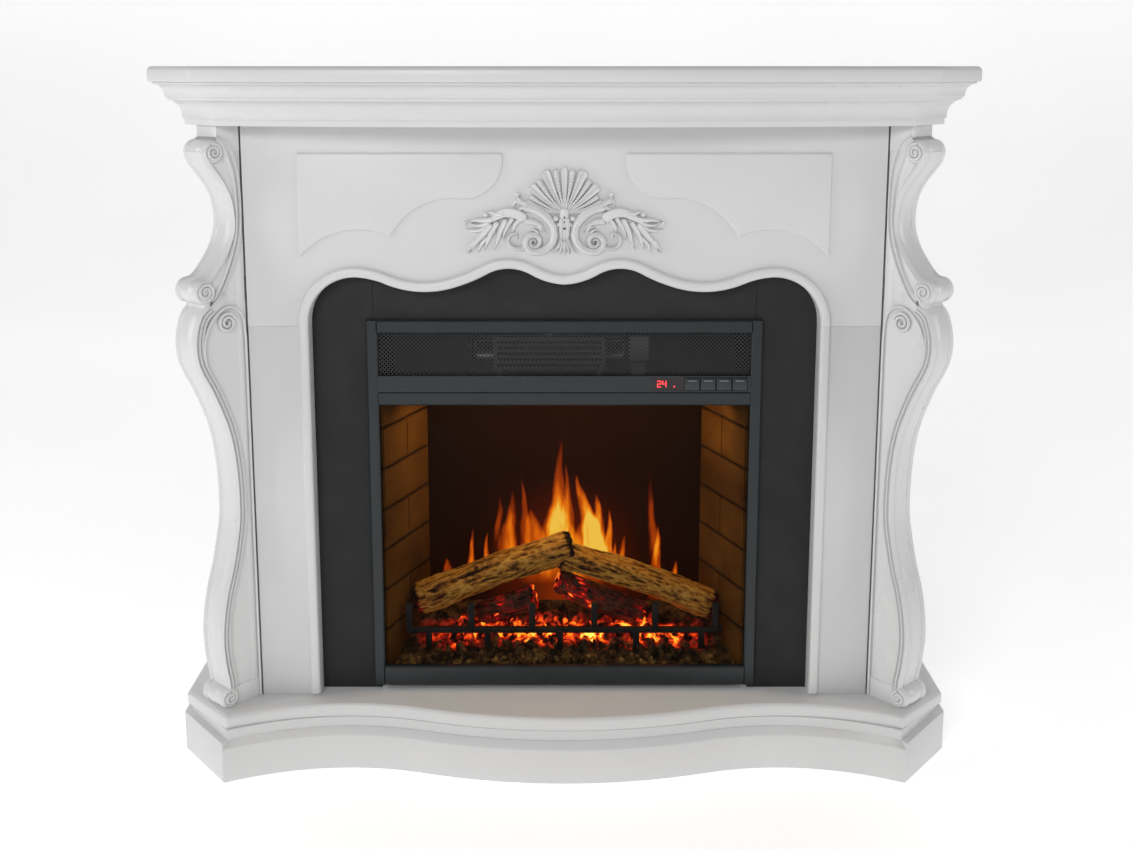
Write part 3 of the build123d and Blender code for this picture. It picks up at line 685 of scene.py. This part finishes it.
def volute(out, height, radius, overhang=3.0):
    """A roll across the console, banded like the front, with a dished face at each end."""
    face = -overhang
    near = [(0.0, face - 0.8), (2.6, face - 0.8), (3.8, face + 0.6), (radius - 3.4, face + 1.0)]
    near += [(radius - 2.4, face), (radius - 0.8, face), (radius, face + 1.0)]
    band = [(radius + 0.3 + band_height(across), across) for across in range(0, int(console_width) + 1, 2)]
    profile = near + band + [(reach, console_width - across) for reach, across in reversed(near)]
    last = len(profile) - 1

    def place(turn, run):
        reach, across = profile[round(run * last)]
        angle = math.tau * turn
        return console_point(out + reach * math.cos(angle), height + reach * math.sin(angle), across)

    return rolled(36, last, place, closed_ends=False)


def spiral(centre, across, radius, turns, start, handed=1, thick=2.7):
    """A carved spiral bead that rises a little towards its eye."""
    steps = round(turns * 22)
    points = []
    radii = []
    for index in range(steps + 1):
        run = index / steps
        angle = start + handed * math.tau * turns * run
        reach = radius * (1 - run) ** 0.85 + 1.6 * run
        spot = (centre[0] + reach * math.cos(angle), centre[1] + reach * math.sin(angle))
        points.append(console_point(*spot, across - 1.2 * run))
        radii.append(thick * (1 - 0.35 * run) * MM)
    return bead_line(points, radii)


def board_block(low, high):
    """A plain stretch of the console's core between two corners in its own plane."""
    deselect()
    bpy.ops.mesh.primitive_cube_add(size=1)
    block = bpy.context.object
    for vertex in block.data.vertices:
        share = vertex.co + Vector((0.5, 0.5, 0.5))
        vertex.co = console_point(*(low[axis] + share[axis] * (high[axis] - low[axis]) for axis in range(3)))
    return modify(block, "BEVEL", width=0.8 * MM, segments=2)


def flowing_pairs(points, steps):
    return [(spot.x, spot.y) for spot in flowing([Vector((*point, 0)) for point in points], steps)]


def carve_console():
    arch_spots = flowing_pairs(arch_line, 60)
    pieces = [
        scroll_body(upper_front, upper_mid, upper_inner, scroll_section, 64),
        scroll_body(lower_front, lower_front, lower_front, ribbed_section, 110),
        board_block((0, foot_height, 1.4), (16, head_height, console_width - 1.4)),
        board_block((0, 950, 0), (neck_out, head_height, console_width)),
        board_block((0, 715, 2.0), (44, 785, console_width - 2.0)),
        board_block((30, 706, 1.0), (70, 742, console_width - 1.0)),
        board_block((0, foot_height, 0), (61, 130, console_width)),
        volute(45, 950, 15),
        volute(69, 749, 16),
        volute(58, foot_height + 17, 14),
    ]
    for across, mirror in ((-3.2, 1), (console_width + 3.2, -1)):
        lift = across if mirror > 0 else across + 1.2
        pieces += [
            spiral((45, 950), lift, 12.5, 2.0, math.radians(75)),
            spiral((69, 749), lift, 13.0, 2.0, math.radians(-100), -1),
            spiral((34, 699), lift + 1.6 * mirror, 15.0, 2.1, math.radians(160), -1),
            spiral((58, foot_height + 17), lift, 10.5, 1.7, math.radians(100)),
            bead_line([console_point(*spot, across + 1.6 * mirror) for spot in arch_spots], 1.9 * MM),
        ]
    return join(pieces, "console_carving_right")


right_console = carve_console()
left_console = mirrored(right_console)
settle(right_console, "console_carving_right", carved_white, stands_for=("console_right",))
settle(left_console, "console_carving_left", carved_white, stands_for=("console_left",))


# ---- crest --------------------------------------------------------------------------------------
# The crest is carved in the plane of the frieze: across, up, and forward of the frieze, in millimetres.
def crest_point(across, height, forward):
    return Vector((across, 0, height)) * MM + Vector((0, panel_face_y - forward * MM, 0))


def leaf(points, width, height, ribs=0, hollow=0.0, blunt=0.35, steps=18, lift=0.0, fan=False):
    """One carved leaf, lobe or scroll: a domed ridge along the points, ribbed or hollowed lengthwise."""
    line = flowing([Vector((*point, 0)) for point in points], steps)
    half = 7

    def place(turn, run):
        index = round(run * steps)
        ahead = line[min(index + 1, steps)] - line[max(index - 1, 0)]
        side = Vector((-ahead.y, ahead.x, 0)).normalized()
        fullness = min(1.0, blunt + run * (1.08 - blunt))
        swell = math.sin(math.pi * fullness**0.9) ** 0.7 if run > 0 else 0.55
        if fan:
            swell = (0.22 + 0.78 * run) * math.sqrt(max(0.02, 1 - max(0.0, (run - 0.84) / 0.16) ** 2))
        share = round(turn * 2 * half) % (2 * half)
        across = 1 - 2 * share / half if share <= half else 2 * (share - half) / half - 1
        spot = line[index] + side * across * width * swell * 0.5
        if share > half or abs(across) == 1:
            return crest_point(spot.x, spot.y, lift - 0.5 if share > half else lift + 0.4)
        dome = math.sqrt(1 - across**2) ** 0.7
        groove = 1 - hollow * math.exp(-((across / 0.4) ** 2))
        groove += 0.14 * math.cos(math.tau * ribs * across) * (ribs > 0)
        return crest_point(spot.x, spot.y, lift + height * dome * groove * (0.45 + 0.55 * swell))

    return rolled(2 * half, steps, place)


def curl(points, start_width, end_width, height, ribs=2, steps=40):
    """A scroll whose width runs down towards its eye."""
    line = flowing([Vector((*point, 0)) for point in points], steps)
    half = 6

    def place(turn, run):
        index = round(run * steps)
        ahead = line[min(index + 1, steps)] - line[max(index - 1, 0)]
        side = Vector((-ahead.y, ahead.x, 0)).normalized()
        width = start_width + (end_width - start_width) * run
        share = round(turn * 2 * half) % (2 * half)
        across = 1 - 2 * share / half if share <= half else 2 * (share - half) / half - 1
        spot = line[index] + side * across * width * 0.5
        if share > half or abs(across) == 1:
            return crest_point(spot.x, spot.y, -0.5 if share > half else 1.0)
        dome = math.sqrt(1 - across**2) ** 0.6
        ridge = 1 + 0.16 * math.cos(math.tau * ribs * across)
        return crest_point(spot.x, spot.y, height * dome * ridge * (1 - 0.25 * run))

    return rolled(2 * half, steps, place)


def spiral_points(centre, start, end_reach, turns, handed):
    """Points that wind from start in to a circle about centre."""
    offset = (start[0] - centre[0], start[1] - centre[1])
    reach = math.hypot(*offset)
    angle = math.atan2(offset[1], offset[0])
    count = round(turns * 9)
    points = []
    for index in range(1, count + 1):
        run = index / count
        turn = angle + handed * math.tau * turns * run
        far = reach + (end_reach - reach) * run**0.8
        points.append((centre[0] + far * math.cos(turn), centre[1] + far * math.sin(turn)))
    return points


def bead_ball(across, height, forward, radius):
    deselect()
    seat = crest_point(across, height, forward)
    bpy.ops.mesh.primitive_ico_sphere_add(subdivisions=2, radius=radius * MM, location=seat)
    ball = bpy.context.object
    bpy.ops.object.transform_apply(location=True)
    for vertex in ball.data.vertices:
        vertex.co.y = panel_face_y - forward * MM + (vertex.co.y - panel_face_y + forward * MM) * 0.8
    return ball


# each flute of the shell: angle from upright, reach, width at the rim, height, ribs, hollow
shell_flutes = (
    (11.5, 67, 10, 8.0, 0, 0.0),
    (24.5, 70, 19, 10.0, 0, 0.75),
    (37.5, 63, 10, 8.0, 0, 0.0),
    (50, 65, 18, 9.5, 0, 0.7),
    (62.5, 57, 9, 7.5, 0, 0.0),
    (74, 60, 15, 8.0, 0, 0.6),
)
shell_root = (0.0, 858.0)
stem_foot = 797.0
scroll_eye = (45.0, 816.0)


def flute_spot(way, reach, share):
    """A spot along the bowed middle line of a flute of the shell."""
    bow = 3.0 * math.sin(math.pi * share) * way[0]
    across = shell_root[0] + way[0] * reach * share + bow * way[1]
    height = shell_root[1] + way[1] * reach * share - bow * way[0]
    return across, height


def carve_crest():
    half = []
    for angle, reach, width, height, ribs, hollow in shell_flutes:
        way = (math.sin(math.radians(angle)), math.cos(math.radians(angle)))
        points = [flute_spot(way, reach, share) for share in (0.12, 0.35, 0.6, 0.82, 1.0)]
        half.append(leaf(points, width, height, ribs, hollow, fan=True))
        if hollow == 0.0:
            for bead in range(9):
                share = 0.34 + 0.07 * bead
                spot = flute_spot(way, reach, share)
                half.append(bead_ball(*spot, height * (0.55 + 0.5 * share), 1.5 + 0.9 * share))
    # side leaf that curls over the end of the shell
    half.append(leaf(((28, 856), (44, 866), (58, 872), (68, 880), (70, 889)), 13, 9, 2))
    half.append(leaf(((52, 866), (63, 866), (72, 861)), 9, 8, 1))
    half.append(leaf(((60, 874), (71, 876), (75, 868)), 8, 8, 1))
    half.append(bead_ball(69, 887, 7, 3.2))
    # the large C-scroll, from over the shell's root round into its eye
    outer = [(58, 868), (42, 864), (26, 853), (15, 836), (17, 817), (29, 805), (45, 801)]
    scroll = outer + spiral_points(scroll_eye, outer[-1], 1.5, 1.9, 1)
    half.append(curl(scroll, 15, 3.0, 11))
    half.append(leaf(((60, 847), (47, 846), (34, 840), (27, 829)), 10, 9, 1))
    half.append(leaf(((33, 833), (38, 838), (45, 836)), 6, 7))
    half.append(leaf(((38, 829), (45, 834), (52, 832)), 5, 6))
    # the small curl beside it
    small_curl = [(58, 808), (66, 806), (76, 808), (83, 816), (81, 825), (72, 829), (70, 822)]
    half.append(curl(small_curl, 7, 4, 8, 1))
    # leaf swag: a broad arched stem, then lobes that leave it in turn
    half.append(leaf(((57, 850), (72, 858), (88, 859), (103, 852), (116, 843), (128, 832)), 17, 10, 3))
    swag = (
        (((88, 858), (101, 857), (110, 860), (117, 858)), 9, 9),
        (((104, 851), (118, 848), (132, 848), (146, 843)), 10, 8),
        (((110, 846), (122, 841), (133, 841), (143, 848)), 8, 8),
        (((112, 842), (124, 834), (136, 833), (146, 836)), 8, 7),
        (((108, 843), (120, 828), (131, 815), (141, 798)), 13, 9),
        (((124, 822), (134, 815), (140, 806), (145, 800)), 7, 7),
        (((98, 846), (108, 830), (114, 816), (118, 803)), 11, 9),
        (((112, 824), (121, 815), (126, 806), (127, 800)), 8, 7),
        (((86, 850), (94, 834), (99, 818), (104, 804)), 11, 9),
        (((76, 852), (84, 840), (89, 828), (90, 818)), 9, 8),
        (((66, 850), (73, 842), (76, 834), (75, 829)), 8, 7),
    )
    for points, width, height in swag:
        half.append(leaf(points, width, height, 2))
    half.append(bead_ball(116, 857, 6, 3.4))
    half.append(bead_ball(146, 844, 5, 2.6))
    # half of the stem, its collar and its leaf foot
    half.append(leaf(((4, 852), (5, 838), (4.5, 822), (5, 808)), 9, 11, 1, blunt=0.3))
    half.append(bead_ball(12.5, 851, 6, 4.2))
    half.append(bead_ball(8.5, 842, 6, 3.2))
    half.append(leaf(((4, 820), (9, 809), (18, 799)), 7, 9, 1))
    half.append(leaf(((2, 818), (5, 806), (8, stem_foot)), 6, 10, 1))
    right = join(half, "crest_half")
    left = mirrored(right)
    middle = [
        leaf(((0, 860), (0, 880), (0, 902), (0, 927)), 14, 7, 0, 0.4, fan=True),
        leaf(((0, 866), (0, 845), (0, 825), (0, 806)), 16, 9, 0, blunt=0.25),
        leaf(((0, 818), (0, 807), (0, stem_foot)), 8, 11, 1),
    ]
    return join([right, left] + middle, "crest_carving")


crest = carve_crest()
settle(crest, "crest_carving", carved_white, stands_for=("crest_ornament",), smooth=50)


def stem_holes():
    """Painted shade in the three punch holes down the middle of the crest: dark balls stand for the shadow in
    each.
    """
    marks = []
    for height, radius in ((853, 1.5), (846, 1.1), (836.5, 1.7)):
        deselect()
        seat = crest_point(0, height, 8.6)
        bpy.ops.mesh.primitive_uv_sphere_add(segments=16, ring_count=8, radius=radius * MM, location=seat)
        marks.append(bpy.context.object)
        bpy.ops.object.transform_apply(location=True)
    return join(marks, "crest_punch_hole_shade")


settle(stem_holes(), "crest_punch_hole_shade", shadow_wash)


# ---- rounded bead of the opening ----------------------------------------------------------------
def run_along(line, count):
    """Points evenly spaced along a line of straight pieces."""
    reach = [0.0]
    for start, end in zip(line, line[1:]):
        reach.append(reach[-1] + (end - start).length)
    spots = []
    span = 0
    for index in range(count + 1):
        goal = reach[-1] * index / count
        while span < len(line) - 2 and reach[span + 1] < goal:
            span += 1
        share = (goal - reach[span]) / max(reach[span + 1] - reach[span], 0.000001)
        spots.append(line[span].lerp(line[span + 1], min(1.0, share)))
    return spots


def line_length(line):
    return sum((b - a).length for a, b in zip(line, line[1:]))


def round_bead(node, name, count):
    """Stands for a panel whose flat bead is worked to a full round."""
    panel = copy_of(node)
    spots = panel.data.vertices
    proud_y = panel_face_y - bead_height * MM
    flat = next(
        face for face in panel.data.polygons
        if all(spots[index].co.y < proud_y + 0.5 * MM for index in face.vertices)
    )
    ring = [spots[index].co.copy() for index in flat.vertices]
    ends = []
    for index, spot in enumerate(ring):
        step = ring[(index + 1) % len(ring)] - spot
        if abs(step.z) < 0.05 * MM and abs(step.length - bead_width * MM) < 0.2 * MM:
            ends.append(index)
    first = ring[ends[0] + 1 : ends[1] + 1]
    second = (ring[ends[1] + 1 :] + ring[: ends[0] + 1])[::-1]
    if line_length(first) < line_length(second):
        first, second = second, first
    outer = run_along(first, count)
    fine = run_along(second, count * 6)
    inner = [min(fine, key=lambda spot: (spot - far).length) for far in outer]
    inner[0] = fine[0]
    inner[-1] = fine[-1]
    for index in flat.vertices:
        spots[index].co.y = panel_face_y - 0.6 * MM
    half = 10

    def place(turn, run):
        index = round(run * count)
        share = round(turn * (half + 3)) % (half + 3)
        if share > half:
            spot = inner[index].lerp(outer[index], 0.97 if share == half + 1 else 0.03)
            spot.y = panel_face_y + 1.5 * MM
            return spot
        across = math.cos(math.pi * share / half)
        spot = inner[index].lerp(outer[index], 0.5 - 0.5 * across)
        shoulder = max(0.0, abs(across) * bead_width / 2 - bead_flat)
        spot.y = panel_face_y - (bead_height - bead_round + math.sqrt(bead_round**2 - shoulder**2)) * MM
        return spot

    bead = rolled(half + 3, count, place)
    settle(join([panel, bead], name), name, white_paint, stands_for=(node,), smooth=50)


bead_width = 15.0
bead_height = 8.0
bead_round = 5.0
bead_flat = 2.5
round_bead("frieze_panel", "frieze_with_bead", 240)


# ---- outlet grille ------------------------------------------------------------------------------
def woven_grille():
    """Fine diamond mesh: a turned grid cut to the opening, each cell opened, then given its thickness."""
    low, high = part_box("outlet_grille")
    pitch = 4.3 * MM
    reach = (high.x - low.x + high.z - low.z) * 0.75
    count = round(reach / pitch)
    deselect()
    bpy.ops.mesh.primitive_grid_add(x_subdivisions=count, y_subdivisions=count, size=reach)
    grille = bpy.context.object
    quarter = Matrix.Rotation(math.radians(45), 4, "Z")
    stand = Matrix.Rotation(math.radians(90), 4, "X")
    middle = (low + high) / 2
    seat = Matrix.Translation(Vector((middle.x, low.y + 0.9 * MM, middle.z)))
    grille.data.transform(seat @ stand @ quarter)
    bpy.ops.object.mode_set(mode="EDIT")
    for corner, way in ((low, (-1, 0, 0)), (high, (1, 0, 0)), (low, (0, 0, -1)), (high, (0, 0, 1))):
        bpy.ops.mesh.select_all(action="SELECT")
        bpy.ops.mesh.bisect(plane_co=corner, plane_no=way, clear_outer=True)
    bpy.ops.mesh.select_all(action="SELECT")
    bpy.ops.mesh.inset(thickness=0.72 * MM, use_individual=True)
    bpy.ops.mesh.delete(type="FACE")
    bpy.ops.object.mode_set(mode="OBJECT")
    modify(grille, "SOLIDIFY", thickness=0.7 * MM, offset=0.0)
    return settle(grille, "outlet_mesh", grille_black, stands_for=("outlet_grille",))


woven_grille()


# ---- controls -----------------------------------------------------------------------------------
def bar(low, high, name):
    """A small straight block between two corners, its edges eased."""
    deselect()
    bpy.ops.mesh.primitive_cube_add(size=1, location=(Vector(low) + Vector(high)) / 2)
    block = bpy.context.object
    block.name = name
    block.scale = Vector(high) - Vector(low)
    bpy.ops.object.transform_apply(location=True, scale=True)
    thinnest = min(block.dimensions)
    return modify(block, "BEVEL", width=thinnest * 0.25, segments=2)


digit_bars = {2: "abged", 4: "fgbc"}
digit_height = 9.0 * MM
digit_width = 5.0 * MM


def digit(number, middle_x, middle_z, front_y):
    """A lit seven-bar number."""
    half_w = digit_width / 2
    half_h = digit_height / 2
    thick = 0.55 * MM
    lines = {
        "a": (-half_w, half_w, half_h, half_h),
        "g": (-half_w, half_w, 0, 0),
        "d": (-half_w, half_w, -half_h, -half_h),
        "f": (-half_w, -half_w, 0, half_h),
        "b": (half_w, half_w, 0, half_h),
        "e": (-half_w, -half_w, -half_h, 0),
        "c": (half_w, half_w, -half_h, 0),
    }
    bars = []
    for key in digit_bars[number]:
        left, right, bottom, top = lines[key]
        low = (middle_x + left - thick, front_y - 0.25 * MM, middle_z + bottom - thick)
        high = (middle_x + right + thick, front_y + 0.3 * MM, middle_z + top + thick)
        bars.append(bar(low, high, "digit_bar"))
    return bars


def display_marks():
    low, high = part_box("display_window")
    front_y = low.y
    middle_z = (low.z + high.z) / 2
    bars = digit(2, low.x + 9 * MM, middle_z, front_y) + digit(4, low.x + 17 * MM, middle_z, front_y)
    lamp_low = (low.x + 31 * MM, front_y - 0.25 * MM, low.z + 5 * MM)
    lamp_high = (low.x + 33 * MM, front_y + 0.3 * MM, low.z + 7 * MM)
    bars.append(bar(lamp_low, lamp_high, "lamp"))
    settle(join(bars, "display_digits"), "display_digits", red_glow)
    divider_low = (low.x + 23 * MM, front_y - 0.2 * MM, low.z)
    divider_high = (low.x + 23.8 * MM, front_y + 0.3 * MM, high.z)
    divider = bar(divider_low, divider_high, "display_divider")
    settle(divider, "display_divider", strip_gloss)


display_marks()
key_names = ("button_power", "button_flame", "button_heat_low", "button_heat_high")
for key_name in key_names:
    eased(key_name, 0.5 * MM, key_gloss, body=key_name)
    key_low, key_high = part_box(key_name)
    # Painted highlight: a thin pale bar across each key just below its top stands in for the light caught
    # along the key's top edge.
    highlight_low = (key_low.x + 5 * MM, key_low.y - 0.12 * MM, key_high.z - 5.2 * MM)
    highlight_high = (key_high.x - 5 * MM, key_low.y + 0.3 * MM, key_high.z - 4.2 * MM)
    highlight_line = bar(highlight_low, highlight_high, "highlight_line")
    settle(highlight_line, f"{key_name}_mark", painted_key_highlight, body=key_name)


# ---- firebox ------------------------------------------------------------------------------------
course_height = 65.5 * MM
first_joint = 63.5 * MM
mortar = 3.4 * MM


def brick_wall(side):
    """Moulded brick liner: a mortar backing and staggered bricks that stand out from it."""
    node = "brick_panel_right" if side > 0 else "brick_panel_left"
    low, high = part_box(node)
    front = Vector((side * 281, -24, 0)) * MM
    back = Vector((side * 226, 110, 0)) * MM
    along = (back - front).normalized()
    inward = Vector((-side * along.y, side * along.x, 0))
    if inward.x * side > 0:
        inward.negate()
    length = (back - front).length
    bricks = []
    beds = (first_joint + course_height * k for k in range(1, 9))
    joints = [low.z] + [z for z in beds if low.z < z < high.z] + [high.z]
    for course, (bottom, top) in enumerate(zip(joints, joints[1:])):
        cuts = [0, length] if course % 2 else [0, length * 0.52, length]
        for start, end in zip(cuts, cuts[1:]):
            deselect()
            bpy.ops.mesh.primitive_cube_add(size=1)
            brick = bpy.context.object
            for _ in range(3):
                all_faces(bpy.ops.mesh.subdivide)
            for vertex in brick.data.vertices:
                share = vertex.co + Vector((0.5, 0.5, 0.5))
                run = start + mortar / 2 + share.x * (end - start - mortar)
                rise = bottom + mortar / 2 + share.z * (top - bottom - mortar)
                out = 1.6 * MM * share.y
                spot = front + along * run + Vector((0, 0, rise))
                rough = noise.noise(spot * 90) * 0.5 * MM
                proud = out + (rough if share.y > 0.9 else 0)
                vertex.co = spot + inward * proud - inward * MM * (share.y < 0.1)
            modify(brick, "BEVEL", width=0.8 * MM, segments=2, limit_method="ANGLE")
            bricks.append(brick)
    word = "right" if side > 0 else "left"
    return settle(join(bricks, f"bricks_{word}"), f"bricks_{word}", brick_clay)


brick_wall(1)
brick_wall(-1)

ember_front_z = 124 * MM
logs = (
    ("log_left", (-240, 84, 212), (14, 88, 306), 27, 1),
    ("log_right", (-6, 92, 288), (244, 86, 204), 25, 2),
    ("ember_log_left", (-142, 108, 180), (-48, 100, 214), 20, 3),
    ("ember_log_right", (-12, 104, 240), (130, 110, 178), 22, 4),
)


def bark_log(name, start, end, radius, seed):
    """A split log: bark furrowed along its run, knots and a bend, with sawn and split ends."""
    first = Vector((start[0] * MM, flange_low.y + start[1] * MM, start[2] * MM))
    last = Vector((end[0] * MM, flange_low.y + end[1] * MM, end[2] * MM))
    way = (last - first).normalized()
    up = (Vector((0, 0, 1)) - way * way.z).normalized()
    side = way.cross(up)
    around = 88
    along = round((last - first).length / (1.5 * MM))
    shift = Vector((seed * 3.1, seed * 1.7, seed * 5.3))

    def place(turn, run):
        angle = math.tau * turn
        centre = first.lerp(last, run)
        bend = math.sin(math.pi * run)
        centre = centre + up * bend * 5 * MM * math.sin(seed) + side * bend * 4 * MM * math.cos(seed * 2)
        round_way = up * math.cos(angle) + side * math.sin(angle)
        spot = Vector((run * along * 0.018, math.cos(angle) * 1.1, math.sin(angle) * 1.1)) + shift
        big = noise.noise(spot * 1.1) * 5.5
        furrow = noise.noise(Vector((spot.x * 2.2, spot.y * 3.6, spot.z * 3.6)) + shift)
        crack = noise.noise(Vector((spot.x * 6.0, spot.y * 7.0, spot.z * 7.0)) - shift)
        plates = 3.4 * (0.33 - abs(furrow)) + 2.4 * (0.3 - abs(crack)) + noise.noise(spot * 14) * 1.0
        end_fall = 1 - 0.16 * max(0.0, 1 - min(run, 1 - run) * 30)
        reach = (radius - 2.5 + big + plates) * end_fall
        return centre + round_way * reach * MM + way * noise.noise(spot * 3) * 2 * MM

    piece = rolled(around, along, place)
    bpy.ops.object.mode_set(mode="EDIT")
    bpy.ops.mesh.select_all(action="DESELECT")
    bpy.ops.object.mode_set(mode="OBJECT")
    for face in piece.data.polygons:
        face.select = len(face.vertices) > 8
    bpy.ops.object.mode_set(mode="EDIT")
    bpy.ops.mesh.select_mode(type="FACE")
    bpy.ops.mesh.inset(thickness=4 * MM, depth=-1.2 * MM)
    bpy.ops.mesh.poke()
    bpy.ops.object.mode_set(mode="OBJECT")
    furrows = piece.data.attributes.new("furrow", "FLOAT", "POINT")
    span = (last - first).length
    for index, vertex in enumerate(piece.data.vertices):
        run = max(0.0, min(1.0, (vertex.co - first).dot(way) / span))
        bend = math.sin(math.pi * run)
        centre = first.lerp(last, run) + up * bend * 5 * MM * math.sin(seed)
        centre = centre + side * bend * 4 * MM * math.cos(seed * 2)
        off = vertex.co - centre
        reach = (off - way * off.dot(way)).length
        angle = math.atan2(off.dot(side), off.dot(up))
        spot = Vector((run * along * 0.018, math.cos(angle) * 1.1, math.sin(angle) * 1.1)) + shift
        expected = (radius - 2.5 + noise.noise(spot * 1.1) * 5.5) * MM
        furrows.data[index].value = max(0.0, min(1.0, 0.5 + (reach - expected) / (3.2 * MM)))
    return settle(piece, name, bark if seed < 3 else charred_bark, smooth=60)


log_pieces = [bark_log(*log) for log in logs]
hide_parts("log_set")


def ember_field():
    """Rough bed of ash and coals, climbing towards the screen."""
    columns, rows = 300, 84
    deselect()
    bpy.ops.mesh.primitive_grid_add(x_subdivisions=columns, y_subdivisions=rows, size=1)
    bed = bpy.context.object
    for vertex in bed.data.vertices:
        across = vertex.co.x * 2
        back = vertex.co.y + 0.5
        half = (bed_high.x - 0.5 * MM) * (1 - back) + (screen_half - 1.0 * MM) * back
        y = bed_low.y + back * (bed_high.y - bed_low.y)
        spot = Vector((across * half, y, 0))
        lumps = noise.noise(spot * 55) * 5 + noise.noise(spot * 130) * 3.2
        lumps += abs(noise.noise(spot * 260)) * 2.6
        height = ember_front_z + back * (bed_high.z - ember_front_z)
        fade = min(1.0, 14 * min(back, 1 - back) + 0.1)
        vertex.co = Vector((spot.x, y, height + (lumps - 3) * MM * fade))
    bpy.ops.object.mode_set(mode="EDIT")
    bpy.ops.mesh.select_all(action="DESELECT")
    bpy.ops.mesh.select_mode(type="EDGE")
    bpy.ops.mesh.select_non_manifold()
    bpy.ops.mesh.extrude_region_move(TRANSFORM_OT_translate={"value": (0, 0, -0.001)})
    bpy.ops.object.mode_set(mode="OBJECT")
    for vertex in bed.data.vertices:
        if vertex.select:
            vertex.co.z = bed_low.z
    bpy.ops.object.mode_set(mode="EDIT")
    bpy.ops.mesh.edge_face_add()
    bpy.ops.object.mode_set(mode="OBJECT")
    return settle(bed, "ember_field", ember_coals, stands_for=("ember_bed",), smooth=70)


def coal_lumps(name, count, low, high, sizes, material):
    """Loose coals scattered over the bed between two corners."""
    lumps = []
    for _ in range(count):
        across = dice.uniform(low[0], high[0])
        y = dice.uniform(low[1], high[1])
        back = (y - bed_low.y) / (bed_high.y - bed_low.y)
        room = (bed_high.x - 12 * MM) * (1 - back) + (screen_half - 12 * MM) * back
        across = max(-1.0, min(1.0, across / bed_high.x)) * room
        size = dice.uniform(*sizes)
        z = ember_front_z + back * (bed_high.z - ember_front_z) + size * 0.35
        deselect()
        bpy.ops.mesh.primitive_ico_sphere_add(subdivisions=2, radius=size, location=(across, y, z))
        lump = bpy.context.object
        turn = [dice.uniform(0, math.tau) for _ in range(3)]
        stretch = (dice.uniform(1.0, 1.7), dice.uniform(0.7, 1.1), dice.uniform(0.6, 0.9))
        lump.scale = stretch
        lump.rotation_euler = turn
        bpy.ops.object.transform_apply(location=False, rotation=False, scale=True)
        lump.rotation_euler = turn
        bpy.ops.object.transform_apply(location=True, rotation=True)
        middle = Vector((across, y, z))
        for vertex in lump.data.vertices:
            away = vertex.co - middle
            vertex.co = middle + away * (1 + 0.35 * noise.noise(vertex.co * 120))
        lumps.append(lump)
    return settle(join(lumps, name), name, material, smooth=50)


ember_field()
coal_lumps("coals_at_grate", 150, (-0.235, -0.004), (0.235, 0.045), (3.5 * MM, 8.5 * MM), ember_coals)
coal_lumps("coals_behind", 70, (-0.2, 0.05), (0.2, 0.095), (5 * MM, 10 * MM), ember_coals)
coal_lumps("ash_in_front", 110, (-0.27, -0.018), (0.27, 0.0), (2.5 * MM, 6 * MM), ash_lumps)

eased("grate", 1.0 * MM, grate_iron)


# ---- light and floor ----------------------------------------------------------------------------
def studio_floor():
    """A pale floor that sweeps up into its own backdrop."""
    deselect()
    bpy.ops.mesh.primitive_plane_add(size=16, location=(0, -5, 0))
    sweep = bpy.context.object
    bpy.ops.object.transform_apply(location=True)
    bpy.ops.object.mode_set(mode="EDIT")
    bpy.ops.mesh.select_all(action="DESELECT")
    bpy.ops.object.mode_set(mode="OBJECT")
    for edge in sweep.data.edges:
        edge.select = all(sweep.data.vertices[index].co.y > 2.9 for index in edge.vertices)
    bpy.ops.object.mode_set(mode="EDIT")
    turns = 10
    for turn in range(turns):
        angle = math.radians(90) * (turn + 0.5) / turns
        step = 1.5 * math.radians(90) / turns
        bpy.ops.mesh.extrude_region_move(
            TRANSFORM_OT_translate={"value": (0, step * math.cos(angle), step * math.sin(angle))}
        )
    bpy.ops.mesh.extrude_region_move(TRANSFORM_OT_translate={"value": (0, 0, 5)})
    bpy.ops.object.mode_set(mode="OBJECT")
    bpy.ops.object.shade_smooth()
    pale = Finish("studio_floor", Roughness=0.9, Emission_Strength=0.55)
    cloud = pale.ramp(pale.noise(0.8, 2.0), (0.3, grey(0.86)), (0.7, grey(0.88)))
    pale.wear(Base_Color=cloud, Emission_Color=cloud)
    sweep.name = "studio_floor"
    sweep.data.materials.append(pale.material)


def soft_light(name, place, aim, size, power, color=(1, 1, 1)):
    deselect()
    turn = (Vector(aim) - Vector(place)).to_track_quat("-Z", "Y").to_euler()
    bpy.ops.object.light_add(type="AREA", location=place, rotation=turn)
    lamp = bpy.context.object
    lamp.name = name
    lamp.data.shape = "RECTANGLE"
    lamp.data.size = size[0]
    lamp.data.size_y = size[1]
    lamp.data.energy = power
    lamp.data.color = color
    return lamp


studio_floor()
sky = bpy.data.worlds.new("studio")
sky.use_nodes = True
sky.node_tree.nodes["Background"].inputs["Color"].default_value = (1, 1, 1, 1)
sky.node_tree.nodes["Background"].inputs["Strength"].default_value = 0.22
bpy.context.scene.world = sky
soft_light("left_bank", (-2.8, -0.9, 1.3), (-0.4, 0, 0.6), (0.7, 1.6), 20)
soft_light("right_bank", (2.8, -0.9, 1.3), (0.4, 0, 0.6), (0.7, 1.6), 16)
soft_light("front_bank", (-0.9, -3.0, 1.9), (0, 0, 0.6), (1.0, 0.7), 34)
soft_light("firebox_lamp", (0, 0.02, 0.552), (0, 0.12, 0.2), (0.46, 0.03), 0.75, (1.0, 0.62, 0.22))
